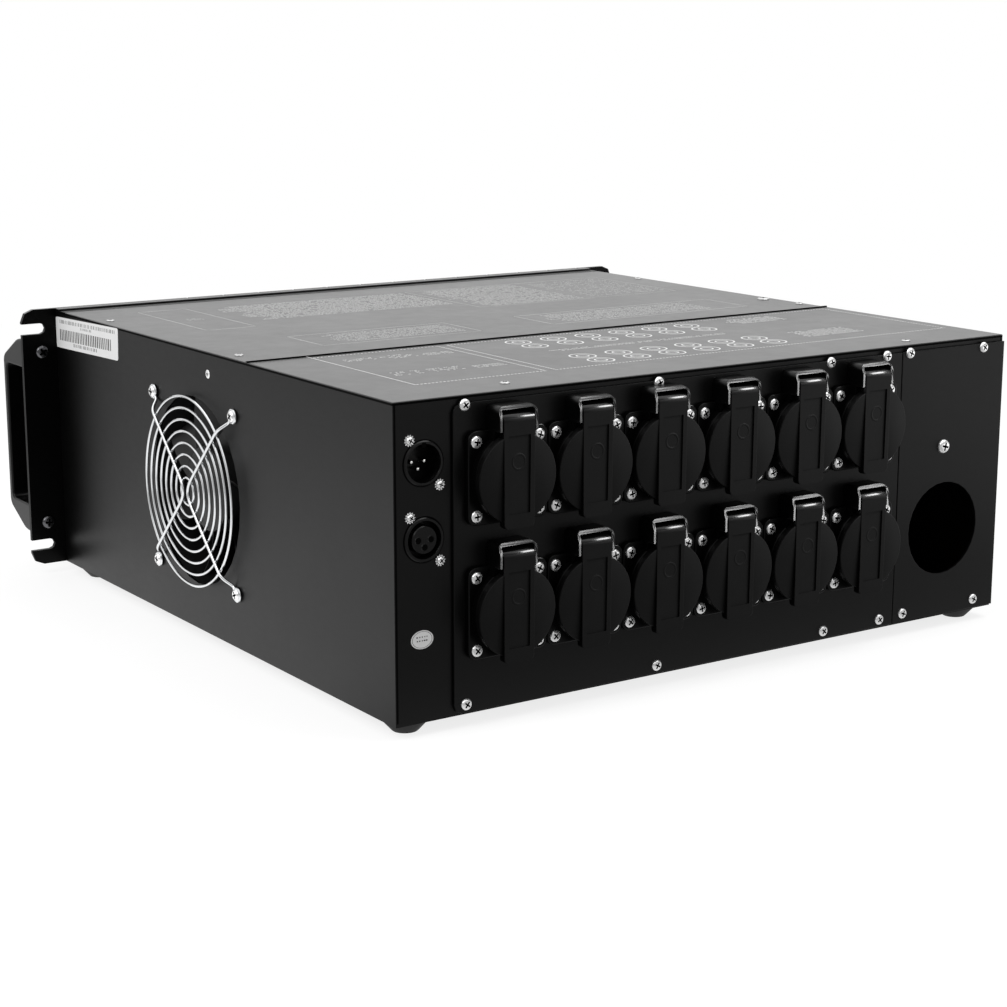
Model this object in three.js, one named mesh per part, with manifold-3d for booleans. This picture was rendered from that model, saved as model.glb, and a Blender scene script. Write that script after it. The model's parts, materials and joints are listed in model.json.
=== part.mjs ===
// A rack dimmer pack, four units high, with twelve lidded mains outlets on its back.
// Millimetres. +Z is up, the rack panel is at -Y, the outlets at +Y and the fan in the side at +X.
// The origin lies under the middle of the whole part, level with the soles of its feet.
// Inside the group, lengths count from the case: y from its front edge, z from its floor.

import * as THREE from "three";
import { mergeVertices } from "three/addons/utils/BufferGeometryUtils.js";
import Module from "manifold-3d";

const wasm = await Module();
wasm.setup();

// Fits shared by all pieces
const seatGap = 0.3; // between pieces that sit on each other
const runGap = 0.4; // between a moving piece and its guide
const cutOverrun = 5; // how far a cut runs past the face that it opens
const weldDepth = 0.5; // how far joined bars and posts sink into each other

// Mains outlets: body. Lengths count from the plate's face and from the outlet's centre.
const wellRadius = 19.6;
const wellDepth = 17.5;
const collarWall = 3.6;
const collarRadius = wellRadius + collarWall;
const collarOut = 7.7;
const backBodyWall = 1.8;
const backBodyRadius = wellRadius + backBodyWall;
const backBodyDepth = 28;
const flangeThickness = 3.2;
const flangeCorner = 5;

// Mains outlets: lid
const discLap = 0.95; // how far the disc reaches past the collar
const discRadius = collarRadius + discLap;
const discThicknessHigh = 5.2;
const discThicknessLow = 1.8;
const discFrontHigh = collarOut + seatGap + discThicknessHigh;
const discFrontLow = collarOut + seatGap + discThicknessLow;
const strapWidth = 19;
const strapProud = 0.4; // how far the strap stands out past the disc
const strapOut = discFrontHigh + strapProud;
const strapLift = 1.3; // from the collar's rim to the back of the strap
const strapBack = collarOut + strapLift;
const strapHeel = 3;
const fingerTab = 2.35; // how far the strap reaches past the disc
const strapDrop = discRadius + fingerTab;
const strapTipRound = 1;
const hingeInset = 0.3; // the hinge line lies this far behind the collar's rim
const hingeOut = collarOut - hingeInset;
const hingeOverDisc = 5.55;
const hingeUp = discRadius + hingeOverDisc;
const hingePinRadius = 1.6;
const knuckleRadius = 4.2;
const sunkWidth = 13.6;
const sunkDepth = 1.2;
const sunkTopInset = 7.3; // from the hinge line down to the sunk panel
const sunkFootInset = 7.9; // from the finger tab's end up to the sunk panel
const sunkHigh = hingeUp - sunkTopInset;
const sunkLow = strapDrop - sunkFootInset;

// Mains outlets: the hood round the hinge
const cheekThickness = 2;
const cheekSideGap = 0.6;
const hoodWidth = strapWidth + 2 * (cheekSideGap + cheekThickness);
const hoodRoofThickness = 1.5;
const hoodTop = hingeUp + (strapOut - hingeOut) + runGap + hoodRoofThickness;
const hoodRoofBack = 3.9; // how far the roof's edge lies behind the cheeks
const cheekOut = discFrontHigh;
const hoodRoofOut = cheekOut - hoodRoofBack;
const cheekRound = 2.6;
const cheekFootOut = cheekOut - cheekRound;
const cheekFootGap = 0.75; // from the disc's edge up to the cheeks
const cheekFoot = discRadius + cheekFootGap;
const cheekChinRise = 2.7;
const cheekChin = cheekFoot + cheekChinRise;
const cheekShoulderDrop = 4.8;
const cheekShoulder = hoodTop - cheekShoulderDrop;
const hoodRootDepth = 6.9; // how far the hood reaches down behind the disc
const hoodRoot = cheekFoot - hoodRootDepth;
const hoodCavityBack = hingeOut - knuckleRadius - 2 * seatGap;
const hoodCavitySink = 0.6;
const hoodCavityLow = cheekFoot - hoodCavitySink;

// Mains outlets: places
const outletColumns = 6;
const outletRows = 2;
const discSpacing = 1.9; // between the discs of two neighbours
const outletPitch = 2 * discRadius + discSpacing;
const flangeSpacing = 0.4;
const flangeSize = outletPitch - flangeSpacing;
const outletRowGap = 9.3; // from a lower hood up to the flange above it
const outletRowPitch = hoodTop + flangeSize / 2 + outletRowGap;

// Plates on the back. The width of the whole part is made up of what stands on them.
const plateThickness = 1.5;
const plateLow = 1.2;
const plateTopInset = 2.2;
const plateCornerRadius = 5;
const plateSeam = 0.6;
const plateHoleClearance = 0.4;
const backWindowMargin = 9; // the back wall that shows round each window behind a plate
const connectorStripWidth = 34.9; // the bare back wall that holds the connectors
const outletMarginFanSide = 31.9; // from the plate's edge to the nearest outlet's middle
const outletMarginCableSide = 31.7;
const outletRowLength = (outletColumns - 1) * outletPitch;
const outletPlateWidth = outletMarginFanSide + outletRowLength + outletMarginCableSide;
const terminalCoverWidth = 85.5;

// Rack panel with its ears
const earOverhang = 23.8; // how far an ear reaches past the case's side
const caseWidth = connectorStripWidth + outletPlateWidth + terminalCoverWidth;
const rackPanelWidth = caseWidth + 2 * earOverhang;
const rackPanelThickness = 3;
const earCornerRadius = 8;
const rackSlotPitch = 146.05;
const rackSlotLow = 13.4;
const rackSlotTop = 12.85; // from the upper slot to the panel's top edge
const rackSlotWidth = 7.1;
const rackSlotDepth = 16.3; // from the panel's end to the slot's closed end
const rackSlotInner = rackPanelWidth / 2 - rackSlotDepth;
const rackPanelHeight = rackSlotLow + rackSlotPitch + rackSlotTop;
const notchWidth = 1.6;
const notchDepth = 1.3;

// Case tray
const caseDepth = 431;
const panelAboveCover = 1.3;
const caseHeight = rackPanelHeight - panelAboveCover;
const sheet = 1.5;
const lipWidth = 12; // folded edges that the panel and the covers are screwed to
const frontRailDepth = 15;
const ventCount = 10;
const ventPitch = 12;
const ventWidth = 4;
const ventHeight = 60;

// Top covers
const coverThickness = 1.5;
const coverSeamY = 274;
const coverSeamGap = 0.6;

// Where the plates and the outlets are on the back
const outletPlateLeft = caseWidth / 2 - connectorStripWidth;
const outletPlateRight = outletPlateLeft - outletPlateWidth;
const outletMiddleX = outletPlateLeft - outletMarginFanSide - outletRowLength / 2;
const outletTopInset = 5.9; // from the covers to the upper hoods
const outletLowZ = caseHeight - outletTopInset - hoodTop - outletRowPitch;

// Bow handles
const handleEdgeInset = 13; // from the panel's end to the middle of the bow
const handleX = rackPanelWidth / 2 - handleEdgeInset;
const handleWidth = 20;
const handleLength = 130.6;
const handleReach = 41;
const handleEndFlat = 15;
const handleChamferRise = 14;
const handleBarThickness = 5.3;
const handleEndWall = 18.8; // from the handle's end to its window
const handleWindowLength = handleLength - 2 * handleEndWall;
const handleWindowRound = 3;

// Feet
const footHeight = 7.2;
const footTopRadius = 13.5;
const footSoleRadius = 7.5;
const footSideInset = 15;
const footX = caseWidth / 2 - footSideInset;
const footFrontY = 22;
const footRearInset = 15.5;

// Control connectors
const connectorInset = 17.9;
const connectorTopInset = 33;
const connectorX = caseWidth / 2 - connectorInset;
const connectorMaleZ = caseHeight - connectorTopInset;
const connectorPitch = 40;
const connectorRadius = 11.8;
const connectorProud = 1;
const connectorFlangeWidth = 26;
const connectorFlangeHeight = 31;
const connectorFlangeThickness = 1.6;
const connectorTail = 14;
const connectorTailStep = 0.6;
const connectorTailRadius = connectorRadius - connectorTailStep;
const maleWellWall = 2.4;
const maleWellRadius = connectorRadius - maleWellWall;
const maleWellDepth = 13;
const pinCircleRadius = 3.85;
const pinRadius = 1.2;
const pinRecess = 5;
const keyWidth = 3;
const keyDepth = 2.2;
const femaleRingWall = 1.6;
const femaleRingWidth = 2.4;
const femaleRingRadius = connectorRadius - femaleRingWall;
const femaleCoreRadius = femaleRingRadius - femaleRingWidth;
const femaleRingDepth = 9;
const femaleHoleRadius = pinRadius + seatGap;
const femaleHoleDepth = 7;

// Fan
const fanY = 203.7;
const fanDrop = 0.2; // how far the fan's middle lies under the middle of the side
const fanZ = caseHeight / 2 - fanDrop;
const fanHoleRadius = 57;
const fanRim = 2.5; // the frame beside its bore, at the middle of each side
const fanSize = 2 * (fanHoleRadius + fanRim);
const fanDepth = 38;
const fanCorner = 6;
const fanScrewInset = 7;
const fanScrewPitch = fanSize - 2 * fanScrewInset;
const fanHubRadius = 26;
const fanStatorThickness = 6;
const fanStrutWidth = 5;
const fanStrutCount = 4;
const fanShaftRadius = 4;
const fanShaftLength = 12;
const fanRotorInset = 5;
const fanBladeCount = 7;
const fanBladeTipGap = 2;
const fanBladeThickness = 2;
const fanBladeInset = 3;
const fanBladeSweep = 20;

// Fan guard
const guardRingCount = 8;
const guardLap = 1.5; // how far the outer ring lies outside the hole
const guardOuterRadius = fanHoleRadius + guardLap;
const guardInnerRadius = 8.24;
const guardRingPitch = (guardOuterRadius - guardInnerRadius) / (guardRingCount - 1);
const guardWireRadius = 0.9;
const guardSpokeRadius = 1;
const guardOut = 5.2;
const guardSpokeMiddle = 2.3;
const guardSpokeBend = 3;
const guardSpokePast = 2.5; // how far a spoke runs level past the outer ring
const guardSpokeDescent = 7;
const guardSpokeLeave = guardOuterRadius + guardSpokePast;
const guardSpokeLand = guardSpokeLeave + guardSpokeDescent;
const guardEyeRadius = 3.6;

// Control board, display and menu buttons
const boardInset = 50.5;
const boardX = caseWidth / 2 - boardInset;
const boardWidth = 72;
const boardHeight = 110;
const boardRise = 6.5; // how far the board's middle lies over the middle of the front
const boardZ = caseHeight / 2 + boardRise;
const boardBack = 14;
const boardThickness = 1.6;
const postRadius = 3;
const postInset = 4;
const displayWidth = 50;
const displayHeight = 19;
const displayRise = 30; // over the board's middle
const displayZ = boardZ + displayRise;
const displaySink = 1;
const buttonCount = 4;
const buttonPitch = 15;
const buttonDrop = 4; // under the board's middle
const buttonZ = boardZ - buttonDrop;
const buttonRadius = 4.3;
const buttonProud = 3;
const buttonFlangeLap = 1.1;
const buttonFlangeRadius = buttonRadius + buttonFlangeLap;
const buttonFlangeThickness = 1.2;
const buttonStemRadius = 2;
const buttonTravel = 1.5;

// Circuit breakers, from the case's far side to the board
const breakerCount = 12;
const breakerInset = 21.3;
const breakerFirstX = breakerInset - caseWidth / 2;
const breakerToBoard = 60.7; // from the last breaker's middle to the board's
const breakerPitch = (boardX - breakerToBoard - breakerFirstX) / (breakerCount - 1);
const breakerRise = 0.5; // how far the breakers' middle lies over the middle of the front
const breakerZ = caseHeight / 2 + breakerRise;
const breakerWidth = 17.6;
const breakerNoseHeight = 45;
const breakerNoseProud = 1.2;
const breakerNoseDepth = 12;
const breakerBodyHeight = 80;
const breakerBodyDepth = 50;
const leverHubRadius = 5;
const leverHubSink = 4.5;
const leverWidth = 8.6;
const leverReach = 13;
const leverThickness = 4;
const leverRestDegrees = 35;
const leverEndGap = 0.5; // between the hub and the bottom of its slot
const leverSwingRoom = 4;
const breakerSlotWidth = leverWidth + 2 * runGap;
const breakerSlotHeight = 2 * leverHubRadius + leverSwingRoom;
const breakerSlotDepth = leverHubSink + leverHubRadius + leverEndGap;
const railHeight = 35;
const railDepth = 7.5;
const railOverhang = 9;
const railLegWidth = 20;
const railLegThickness = 3;
const railLegX = 150;

// Power stage
const deckFanInset = 82.5; // between the deck and the side that holds the fan
const deckFarInset = 22.5;
const deckFrontY = 135;
const deckRearInset = 46;
const deckWidth = caseWidth - deckFanInset - deckFarInset;
const deckLength = caseDepth - deckFrontY - deckRearInset;
const deckX = (deckFarInset - deckFanInset) / 2;
const deckY = deckFrontY + deckLength / 2;
const deckRearY = deckFrontY + deckLength;
const deckLegHeight = 6;
const deckLegRadius = 5;
const deckLegInset = 15;
const deckThickness = 2;
const sinkSideInset = 30;
const sinkFrontInset = 23;
const sinkWidth = deckWidth - 2 * sinkSideInset;
const sinkLength = 90;
const sinkY = deckFrontY + sinkFrontInset + sinkLength / 2;
const sinkBase = 8;
const finHeight = 80;
const finThickness = 2.5;
const finCount = 9;
const chokeRadius = 22;
const chokeHeight = 24;
const chokeColumns = 6;
const chokeSideInset = 40;
const chokeRearInset = 85; // from the deck's rear edge to the front row of chokes
const chokePitch = (deckWidth - 2 * chokeSideInset) / (chokeColumns - 1);
const chokeRowPitch = 50;
const chokeFirstY = deckRearY - chokeRearInset;
const terminalWidth = 30;
const terminalDepth = 20;
const terminalHeight = 34;
const terminalRearInset = 55;
const terminalY = deckRearY - terminalRearInset;

// Cable entry
const cableInset = 46.1;
const cableX = cableInset - caseWidth / 2;
const cableZ = 56;
const cableHoleRadius = 28.5;

// How finely round forms are drawn
const sides = { pin: 6, small: 10, round: 16, disc: 20, large: 28, corner: 2, wire: 4 };

// Places that follow from the sizes above
const coverTop = caseHeight;
const trayTop = caseHeight - coverThickness - seatGap;
const plateFace = caseDepth + seatGap + plateThickness;
const plateHigh = trayTop - plateTopInset;
const rackPanelFront = -rackPanelThickness;
const handleFront = rackPanelFront - seatGap - handleReach;
const strapFace = plateFace + seatGap + strapOut;
const rackMiddle = rackSlotLow + rackSlotPitch / 2;
const frontToBack = (handleFront + strapFace) / 2;

// Colours and finishes
const finishes = {
  powderCoat: { color: 0x1b1c1d, roughness: 0.5, metalness: 0.1 },
  coverCoat: { color: 0x2a2b2d, roughness: 0.45, metalness: 0.1 },
  blackPlastic: { color: 0x161717, roughness: 0.55, metalness: 0 },
  handleCoat: { color: 0x202122, roughness: 0.4, metalness: 0.3 },
  chrome: { color: 0xc9cbcd, roughness: 0.18, metalness: 1 },
  rubber: { color: 0x101010, roughness: 0.85, metalness: 0 },
  connectorBlack: { color: 0x141414, roughness: 0.4, metalness: 0.4 },
  breakerGrey: { color: 0xb9bab8, roughness: 0.5, metalness: 0 },
  leverBlack: { color: 0x121212, roughness: 0.4, metalness: 0 },
  boardGreen: { color: 0x1c5a34, roughness: 0.5, metalness: 0 },
  aluminium: { color: 0xa9abad, roughness: 0.4, metalness: 0.9 },
  buttonGrey: { color: 0x55585a, roughness: 0.5, metalness: 0 },
};

// Spans and outlines
const span = (middle, size) => [middle - size / 2, middle + size / 2];
const upTo = (start, size) => [start, start + size];
const point = (u, v) => new THREE.Vector2(u, v);
const radians = THREE.MathUtils.degToRad;

function arc(u, v, radius, startDegrees, endDegrees, steps) {
  const points = [];
  for (let step = 0; step <= steps; step += 1) {
    const angle = radians(startDegrees + ((endDegrees - startDegrees) * step) / steps);
    points.push(point(u + radius * Math.cos(angle), v + radius * Math.sin(angle)));
  }
  return points;
}

function circle(radius, count, u = 0, v = 0) {
  return arc(u, v, radius, 0, 360, count).slice(0, count);
}

function rectangle([u0, u1], [v0, v1]) {
  return [point(u0, v0), point(u1, v0), point(u1, v1), point(u0, v1)];
}

function roundedRectangle([u0, u1], [v0, v1], radius, steps = sides.corner) {
  return [
    ...arc(u1 - radius, v0 + radius, radius, -90, 0, steps),
    ...arc(u1 - radius, v1 - radius, radius, 0, 90, steps),
    ...arc(u0 + radius, v1 - radius, radius, 90, 180, steps),
    ...arc(u0 + radius, v0 + radius, radius, 180, 270, steps),
  ];
}

// Solids. An outline lies in (y, z), (x, z) or (x, y) and is drawn out along x, y or z.
const axisBases = {
  x: [new THREE.Vector3(0, 1, 0), new THREE.Vector3(0, 0, 1), new THREE.Vector3(1, 0, 0)],
  y: [new THREE.Vector3(1, 0, 0), new THREE.Vector3(0, 0, 1), new THREE.Vector3(0, -1, 0)],
  z: [new THREE.Vector3(1, 0, 0), new THREE.Vector3(0, 1, 0), new THREE.Vector3(0, 0, 1)],
};

function solidOf(geometry) {
  const bare = geometry.clone();
  for (const name of Object.keys(bare.attributes)) {
    if (name !== "position") bare.deleteAttribute(name);
  }
  const welded = mergeVertices(bare);
  return new wasm.Manifold(
    new wasm.Mesh({
      numProp: 3,
      vertProperties: welded.attributes.position.array,
      triVerts: Uint32Array.from(welded.index.array),
    }),
  );
}

function geometryOf(solid) {
  const mesh = solid.getMesh();
  const geometry = new THREE.BufferGeometry();
  const positions = Float32Array.from(mesh.vertProperties);
  geometry.setAttribute("position", new THREE.BufferAttribute(positions, mesh.numProp));
  geometry.setIndex(new THREE.BufferAttribute(Uint32Array.from(mesh.triVerts), 1));
  return geometry;
}

function prism(outline, axis, [start, end], holes = []) {
  const shape = new THREE.Shape(outline);
  const geometry = new THREE.ExtrudeGeometry(shape, { depth: end - start, bevelEnabled: false });
  geometry.translate(0, 0, axis === "y" ? -end : start);
  geometry.applyMatrix4(new THREE.Matrix4().makeBasis(...axisBases[axis]));
  const through = [start - cutOverrun, end + cutOverrun];
  return cut(solidOf(geometry), ...holes.map((hole) => prism(hole, axis, through)));
}

function block(xSpan, ySpan, zSpan) {
  return prism(rectangle(xSpan, ySpan), "z", zSpan);
}

function rod(axis, radius, reach, count, u = 0, v = 0) {
  return prism(circle(radius, count, u, v), axis, reach);
}

function join(first, ...others) {
  return others.reduce((whole, piece) => whole.add(piece), first);
}

function cut(first, ...tools) {
  return tools.reduce((rest, tool) => rest.subtract(tool), first);
}

function piece(name, solid, finish) {
  const mesh = new THREE.Mesh(geometryOf(solid), new THREE.MeshStandardMaterial(finishes[finish]));
  mesh.name = name;
  return mesh;
}

function placed(group, x, y, z) {
  group.position.set(x, y, z);
  return group;
}

// The tray: floor, two sides, back wall and front rail, open on top and in front
function caseTray() {
  const insideX = span(0, caseWidth - 2 * sheet);
  const insideZ = [sheet, trayTop - sheet];
  const frontY = seatGap;
  const backY = caseDepth - sheet;
  const shell = block(span(0, caseWidth), [frontY, caseDepth], [0, trayTop]);
  const room = block(insideX, [frontY + sheet, backY], insideZ);
  const openX = span(0, caseWidth - 2 * lipWidth);
  const railBack = frontY + frontRailDepth;
  const mouthZ = [lipWidth, trayTop - lipWidth];
  const mouth = block(openX, [-cutOverrun, frontY + cutOverrun], mouthZ);
  const hatchY = [railBack + lipWidth, caseDepth - lipWidth];
  const hatch = block(openX, hatchY, upTo(trayTop - cutOverrun, 2 * cutOverrun));
  const rail = block(span(0, caseWidth), [frontY, railBack], [trayTop - sheet, coverTop]);
  const wallY = [backY - cutOverrun, caseDepth + cutOverrun];
  const windowZ = [plateLow + backWindowMargin, plateHigh - backWindowMargin];
  const outletWindowX = [outletPlateRight + backWindowMargin, outletPlateLeft - backWindowMargin];
  const terminalWindowX = [-caseWidth / 2 + backWindowMargin, outletPlateRight - backWindowMargin];
  const tools = [
    room,
    mouth,
    hatch,
    block(outletWindowX, wallY, windowZ),
    block(terminalWindowX, wallY, windowZ),
  ];
  const hole = connectorRadius + runGap;
  for (const row of [0, 1]) {
    const z = connectorMaleZ - row * connectorPitch;
    tools.push(rod("y", hole, wallY, sides.round, connectorX, z));
  }
  const sideX = upTo(caseWidth / 2 - sheet - cutOverrun, sheet + 2 * cutOverrun);
  tools.push(rod("x", fanHoleRadius, sideX, sides.large, fanY, fanZ));
  const farX = upTo(-caseWidth / 2 - cutOverrun, sheet + 2 * cutOverrun);
  for (let vent = 0; vent < ventCount; vent += 1) {
    const y = fanY + (vent - (ventCount - 1) / 2) * ventPitch;
    tools.push(block(farX, span(y, ventWidth), span(fanZ, ventHeight)));
  }
  return join(cut(shell, ...tools), rail);
}

function topCover(ySpan) {
  return block(span(0, caseWidth), ySpan, [coverTop - coverThickness, coverTop]);
}

// The rack panel: one half outline from the bottom edge round the ear to the top edge
function earOutline() {
  const edge = rackPanelWidth / 2;
  const radius = rackSlotWidth / 2;
  const slotU = rackSlotInner + radius;
  const points = [...arc(edge - earCornerRadius, earCornerRadius, earCornerRadius, -90, 0, sides.corner)];
  for (const slotZ of [rackSlotLow, rackSlotLow + rackSlotPitch]) {
    points.push(point(edge, slotZ - radius));
    points.push(...arc(slotU, slotZ, radius, 270, 90, 2 * sides.corner));
    points.push(point(edge, slotZ + radius));
  }
  const topZ = rackPanelHeight - earCornerRadius;
  points.push(...arc(edge - earCornerRadius, topZ, earCornerRadius, 0, 90, sides.corner));
  return points;
}

function rackPanel() {
  const ear = earOutline();
  const otherEar = ear.map((p) => point(-p.x, p.y)).reverse();
  const thickness = [rackPanelFront, 0];
  const windows = [];
  for (let index = 0; index < breakerCount; index += 1) {
    const x = breakerFirstX + index * breakerPitch;
    const wide = breakerWidth + 2 * runGap;
    windows.push(rectangle(span(x, wide), span(breakerZ, breakerNoseHeight + 2 * runGap)));
  }
  const displaySpanX = span(boardX, displayWidth + 2 * runGap);
  const displaySpanZ = span(displayZ, displayHeight + 2 * runGap);
  windows.push(rectangle(displaySpanX, displaySpanZ));
  for (let index = 0; index < buttonCount; index += 1) {
    windows.push(circle(buttonRadius + runGap, sides.small, buttonX(index), buttonZ));
  }
  const tools = [];
  for (let index = 0; index <= breakerCount; index += 1) {
    const x = breakerFirstX + (index - 1 / 2) * breakerPitch;
    const deep = upTo(rackPanelHeight - notchDepth, notchDepth + cutOverrun);
    tools.push(block(span(x, notchWidth), [rackPanelFront - cutOverrun, cutOverrun], deep));
  }
  return cut(prism([...ear, ...otherEar], "y", thickness, windows), ...tools);
}

// A bow handle, its feet on the ear: y counts from the ear's face towards the hand
function bowHandle() {
  const end = handleLength / 2;
  const barEnd = end - handleChamferRise;
  const side = [point(0, -end), point(-handleEndFlat, -end), point(-handleReach, -barEnd)];
  const mirrored = side.map((p) => point(p.x, -p.y)).reverse();
  const windowY = [-(handleReach - handleBarThickness), handleWindowRound];
  const window = roundedRectangle(windowY, span(0, handleWindowLength), handleWindowRound);
  const reach = span(0, handleWidth);
  const open = span(0, handleWidth + 2 * cutOverrun);
  return cut(prism([...side, ...mirrored].reverse(), "x", reach), prism(window, "x", open));
}

function rubberFoot() {
  const cone = new THREE.CylinderGeometry(footTopRadius, footSoleRadius, footHeight, sides.round);
  cone.rotateX(Math.PI / 2);
  cone.translate(0, 0, footHeight / 2);
  return solidOf(cone);
}

// The plates on the back
function outletPlate() {
  const outline = [
    point(outletPlateRight, plateLow),
    ...arc(
      outletPlateLeft - plateCornerRadius,
      plateLow + plateCornerRadius,
      plateCornerRadius,
      -90,
      0,
      sides.corner,
    ),
    ...arc(
      outletPlateLeft - plateCornerRadius,
      plateHigh - plateCornerRadius,
      plateCornerRadius,
      0,
      90,
      sides.corner,
    ),
    point(outletPlateRight, plateHigh),
  ];
  const holeRadius = backBodyRadius + plateHoleClearance;
  const holes = outletPlaces().map(([x, z]) => circle(holeRadius, sides.round, x, z));
  return prism(outline, "y", [caseDepth + seatGap, plateFace], holes);
}

function terminalCover() {
  const outline = rectangle([-caseWidth / 2, outletPlateRight - plateSeam], [plateLow, plateHigh]);
  const hole = circle(cableHoleRadius, sides.large, cableX, cableZ);
  return prism(outline, "y", [caseDepth + seatGap, plateFace], [hole]);
}

function outletPlaces() {
  const places = [];
  for (let row = outletRows - 1; row >= 0; row -= 1) {
    for (let column = 0; column < outletColumns; column += 1) {
      const x = outletMiddleX + ((outletColumns - 1) / 2 - column) * outletPitch;
      places.push([x, outletLowZ + row * outletRowPitch]);
    }
  }
  return places;
}

// The outlet body: y counts outwards from its seat on the plate
function outletBody() {
  const flange = roundedRectangle(span(0, flangeSize), span(0, flangeSize), flangeCorner);
  const hood = [
    point(0, hoodRoot),
    point(collarOut, hoodRoot),
    point(collarOut, cheekFoot),
    point(cheekFootOut, cheekFoot),
    point(cheekOut, cheekChin),
    point(cheekOut, cheekShoulder),
    point(hoodRoofOut, hoodTop),
    point(0, hoodTop),
  ];
  const cavityX = span(0, hoodWidth - 2 * cheekThickness);
  const cavityZ = [hoodCavityLow, hoodTop - hoodRoofThickness];
  const well = [collarOut - wellDepth, collarOut + cutOverrun];
  const boreReach = span(0, hoodWidth + cutOverrun);
  const pinHole = rod("x", hingePinRadius + seatGap, boreReach, sides.pin, hingeOut, hingeUp);
  const whole = join(
    prism(flange, "y", [0, flangeThickness]),
    rod("y", collarRadius, [0, collarOut], sides.round),
    rod("y", backBodyRadius, [-backBodyDepth, flangeThickness], sides.round),
    prism(hood, "x", span(0, hoodWidth)),
  );
  return cut(
    whole,
    rod("y", wellRadius, well, sides.round),
    block(cavityX, [hoodCavityBack, cheekOut + cutOverrun], cavityZ),
    pinHole,
  );
}

// The lid: y counts outwards and z upwards from the hinge line
function outletLid() {
  const out = (y) => y - hingeOut;
  const up = (z) => z - hingeUp;
  const back = collarOut + seatGap;
  const slope = (discFrontHigh - discFrontLow) / (2 * discRadius);
  const high = discRadius + cutOverrun;
  const wedge = [
    point(out(back), up(-high)),
    point(out(discFrontLow - slope * cutOverrun), up(-high)),
    point(out(discFrontHigh + slope * cutOverrun), up(high)),
    point(out(back), up(high)),
  ];
  const reachY = [out(back), out(discFrontHigh)];
  const round = rod("y", discRadius, reachY, sides.disc, 0, up(0));
  const disc = prism(wedge, "x", span(0, 2 * high)).intersect(round);
  const heel = [strapOut - strapHeel, hingeUp + knuckleRadius - strapHeel];
  const strapSide = [
    point(out(strapBack), up(-strapDrop)),
    point(out(strapOut - strapTipRound), up(-strapDrop)),
    point(out(strapOut), up(-strapDrop + strapTipRound)),
    ...arc(out(heel[0]), up(heel[1]), strapHeel, 0, 90, sides.corner),
    ...arc(0, 0, knuckleRadius, 90, 270, 2 * sides.corner),
    point(out(strapBack), -knuckleRadius),
  ];
  const strap = prism(strapSide, "x", span(0, strapWidth));
  const sunkY = upTo(out(strapOut - sunkDepth), sunkDepth + cutOverrun);
  const sunk = block(span(0, sunkWidth), sunkY, [up(-sunkLow), up(sunkHigh)]);
  const pins = rod("x", hingePinRadius, span(0, hoodWidth - cheekThickness), sides.pin);
  return join(cut(join(disc, strap), sunk), pins);
}

// Connectors: y counts outwards from the back wall's outer face
function connectorShell() {
  const inner = -sheet - seatGap;
  const flange = roundedRectangle(
    span(0, connectorFlangeWidth),
    span(0, connectorFlangeHeight),
    connectorFlangeThickness,
  );
  return join(
    prism(flange, "y", [inner - connectorFlangeThickness, inner]),
    rod("y", connectorRadius, [inner - connectorFlangeThickness, connectorProud], sides.round),
    rod("y", connectorTailRadius, [inner - connectorTail, inner], sides.round),
  );
}

function pinPlaces() {
  return [
    [-pinCircleRadius, 0],
    [pinCircleRadius, 0],
    [0, -pinCircleRadius],
  ];
}

function maleConnector() {
  const floor = connectorProud - maleWellDepth;
  const mouth = [floor, connectorProud + cutOverrun];
  const keyZ = [maleWellRadius - keyDepth, maleWellRadius + keyDepth / 2];
  const shell = cut(
    connectorShell(),
    rod("y", maleWellRadius, mouth, sides.round),
    block(span(0, keyWidth), mouth, keyZ),
  );
  const reach = [floor - weldDepth, connectorProud - pinRecess];
  const pins = pinPlaces().map(([x, z]) => rod("y", pinRadius, reach, sides.pin, x, z));
  return join(shell, ...pins);
}

function femaleConnector() {
  const mouth = [connectorProud - femaleRingDepth, connectorProud + cutOverrun];
  const core = rod("y", femaleCoreRadius, [mouth[0] - weldDepth, connectorProud], sides.round);
  const shell = join(cut(connectorShell(), rod("y", femaleRingRadius, mouth, sides.round)), core);
  const deep = [connectorProud - femaleHoleDepth, connectorProud + cutOverrun];
  const holes = pinPlaces().map(([x, z]) => rod("y", femaleHoleRadius, deep, sides.pin, x, z));
  return cut(shell, ...holes);
}

// Fan: x counts outwards from the side's outer face, y and z from the fan's axle
const fanFace = -sheet - seatGap;
const fanBack = fanFace - fanDepth;

function fanFrame() {
  const outline = roundedRectangle(span(0, fanSize), span(0, fanSize), fanCorner);
  const bore = circle(fanHoleRadius, sides.large);
  const ring = prism(outline, "x", [fanBack, fanFace], [bore]);
  const stator = [fanBack, fanBack + fanStatorThickness];
  const struts = [];
  for (let index = 0; index < fanStrutCount; index += 1) {
    const bar = block(stator, span(0, fanStrutWidth), [0, fanHoleRadius + weldDepth]);
    struts.push(bar.rotate([(360 * (index + 1 / 2)) / fanStrutCount, 0, 0]));
  }
  const shaft = [fanBack, stator[1] + fanShaftLength];
  return join(
    ring,
    rod("x", fanHubRadius, stator, sides.round),
    rod("x", fanShaftRadius, shaft, sides.small),
    ...struts,
  );
}

// One blade: a thin curved strip in (x, y), drawn out from the hub towards the tip
function fanBlade(reachX) {
  const start = point(reachX[0], -fanBladeSweep / 2);
  const end = point(reachX[1], fanBladeSweep / 2);
  const bulge = point(reachX[0], fanBladeSweep / 2);
  const inner = new THREE.QuadraticBezierCurve(start, bulge, end).getPoints(sides.corner);
  const outer = inner.map((p) => point(p.x + fanBladeThickness, p.y)).reverse();
  const rootZ = fanHubRadius - fanBladeInset;
  return prism([...inner, ...outer].reverse(), "z", [rootZ, fanHoleRadius - fanBladeTipGap]);
}

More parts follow.
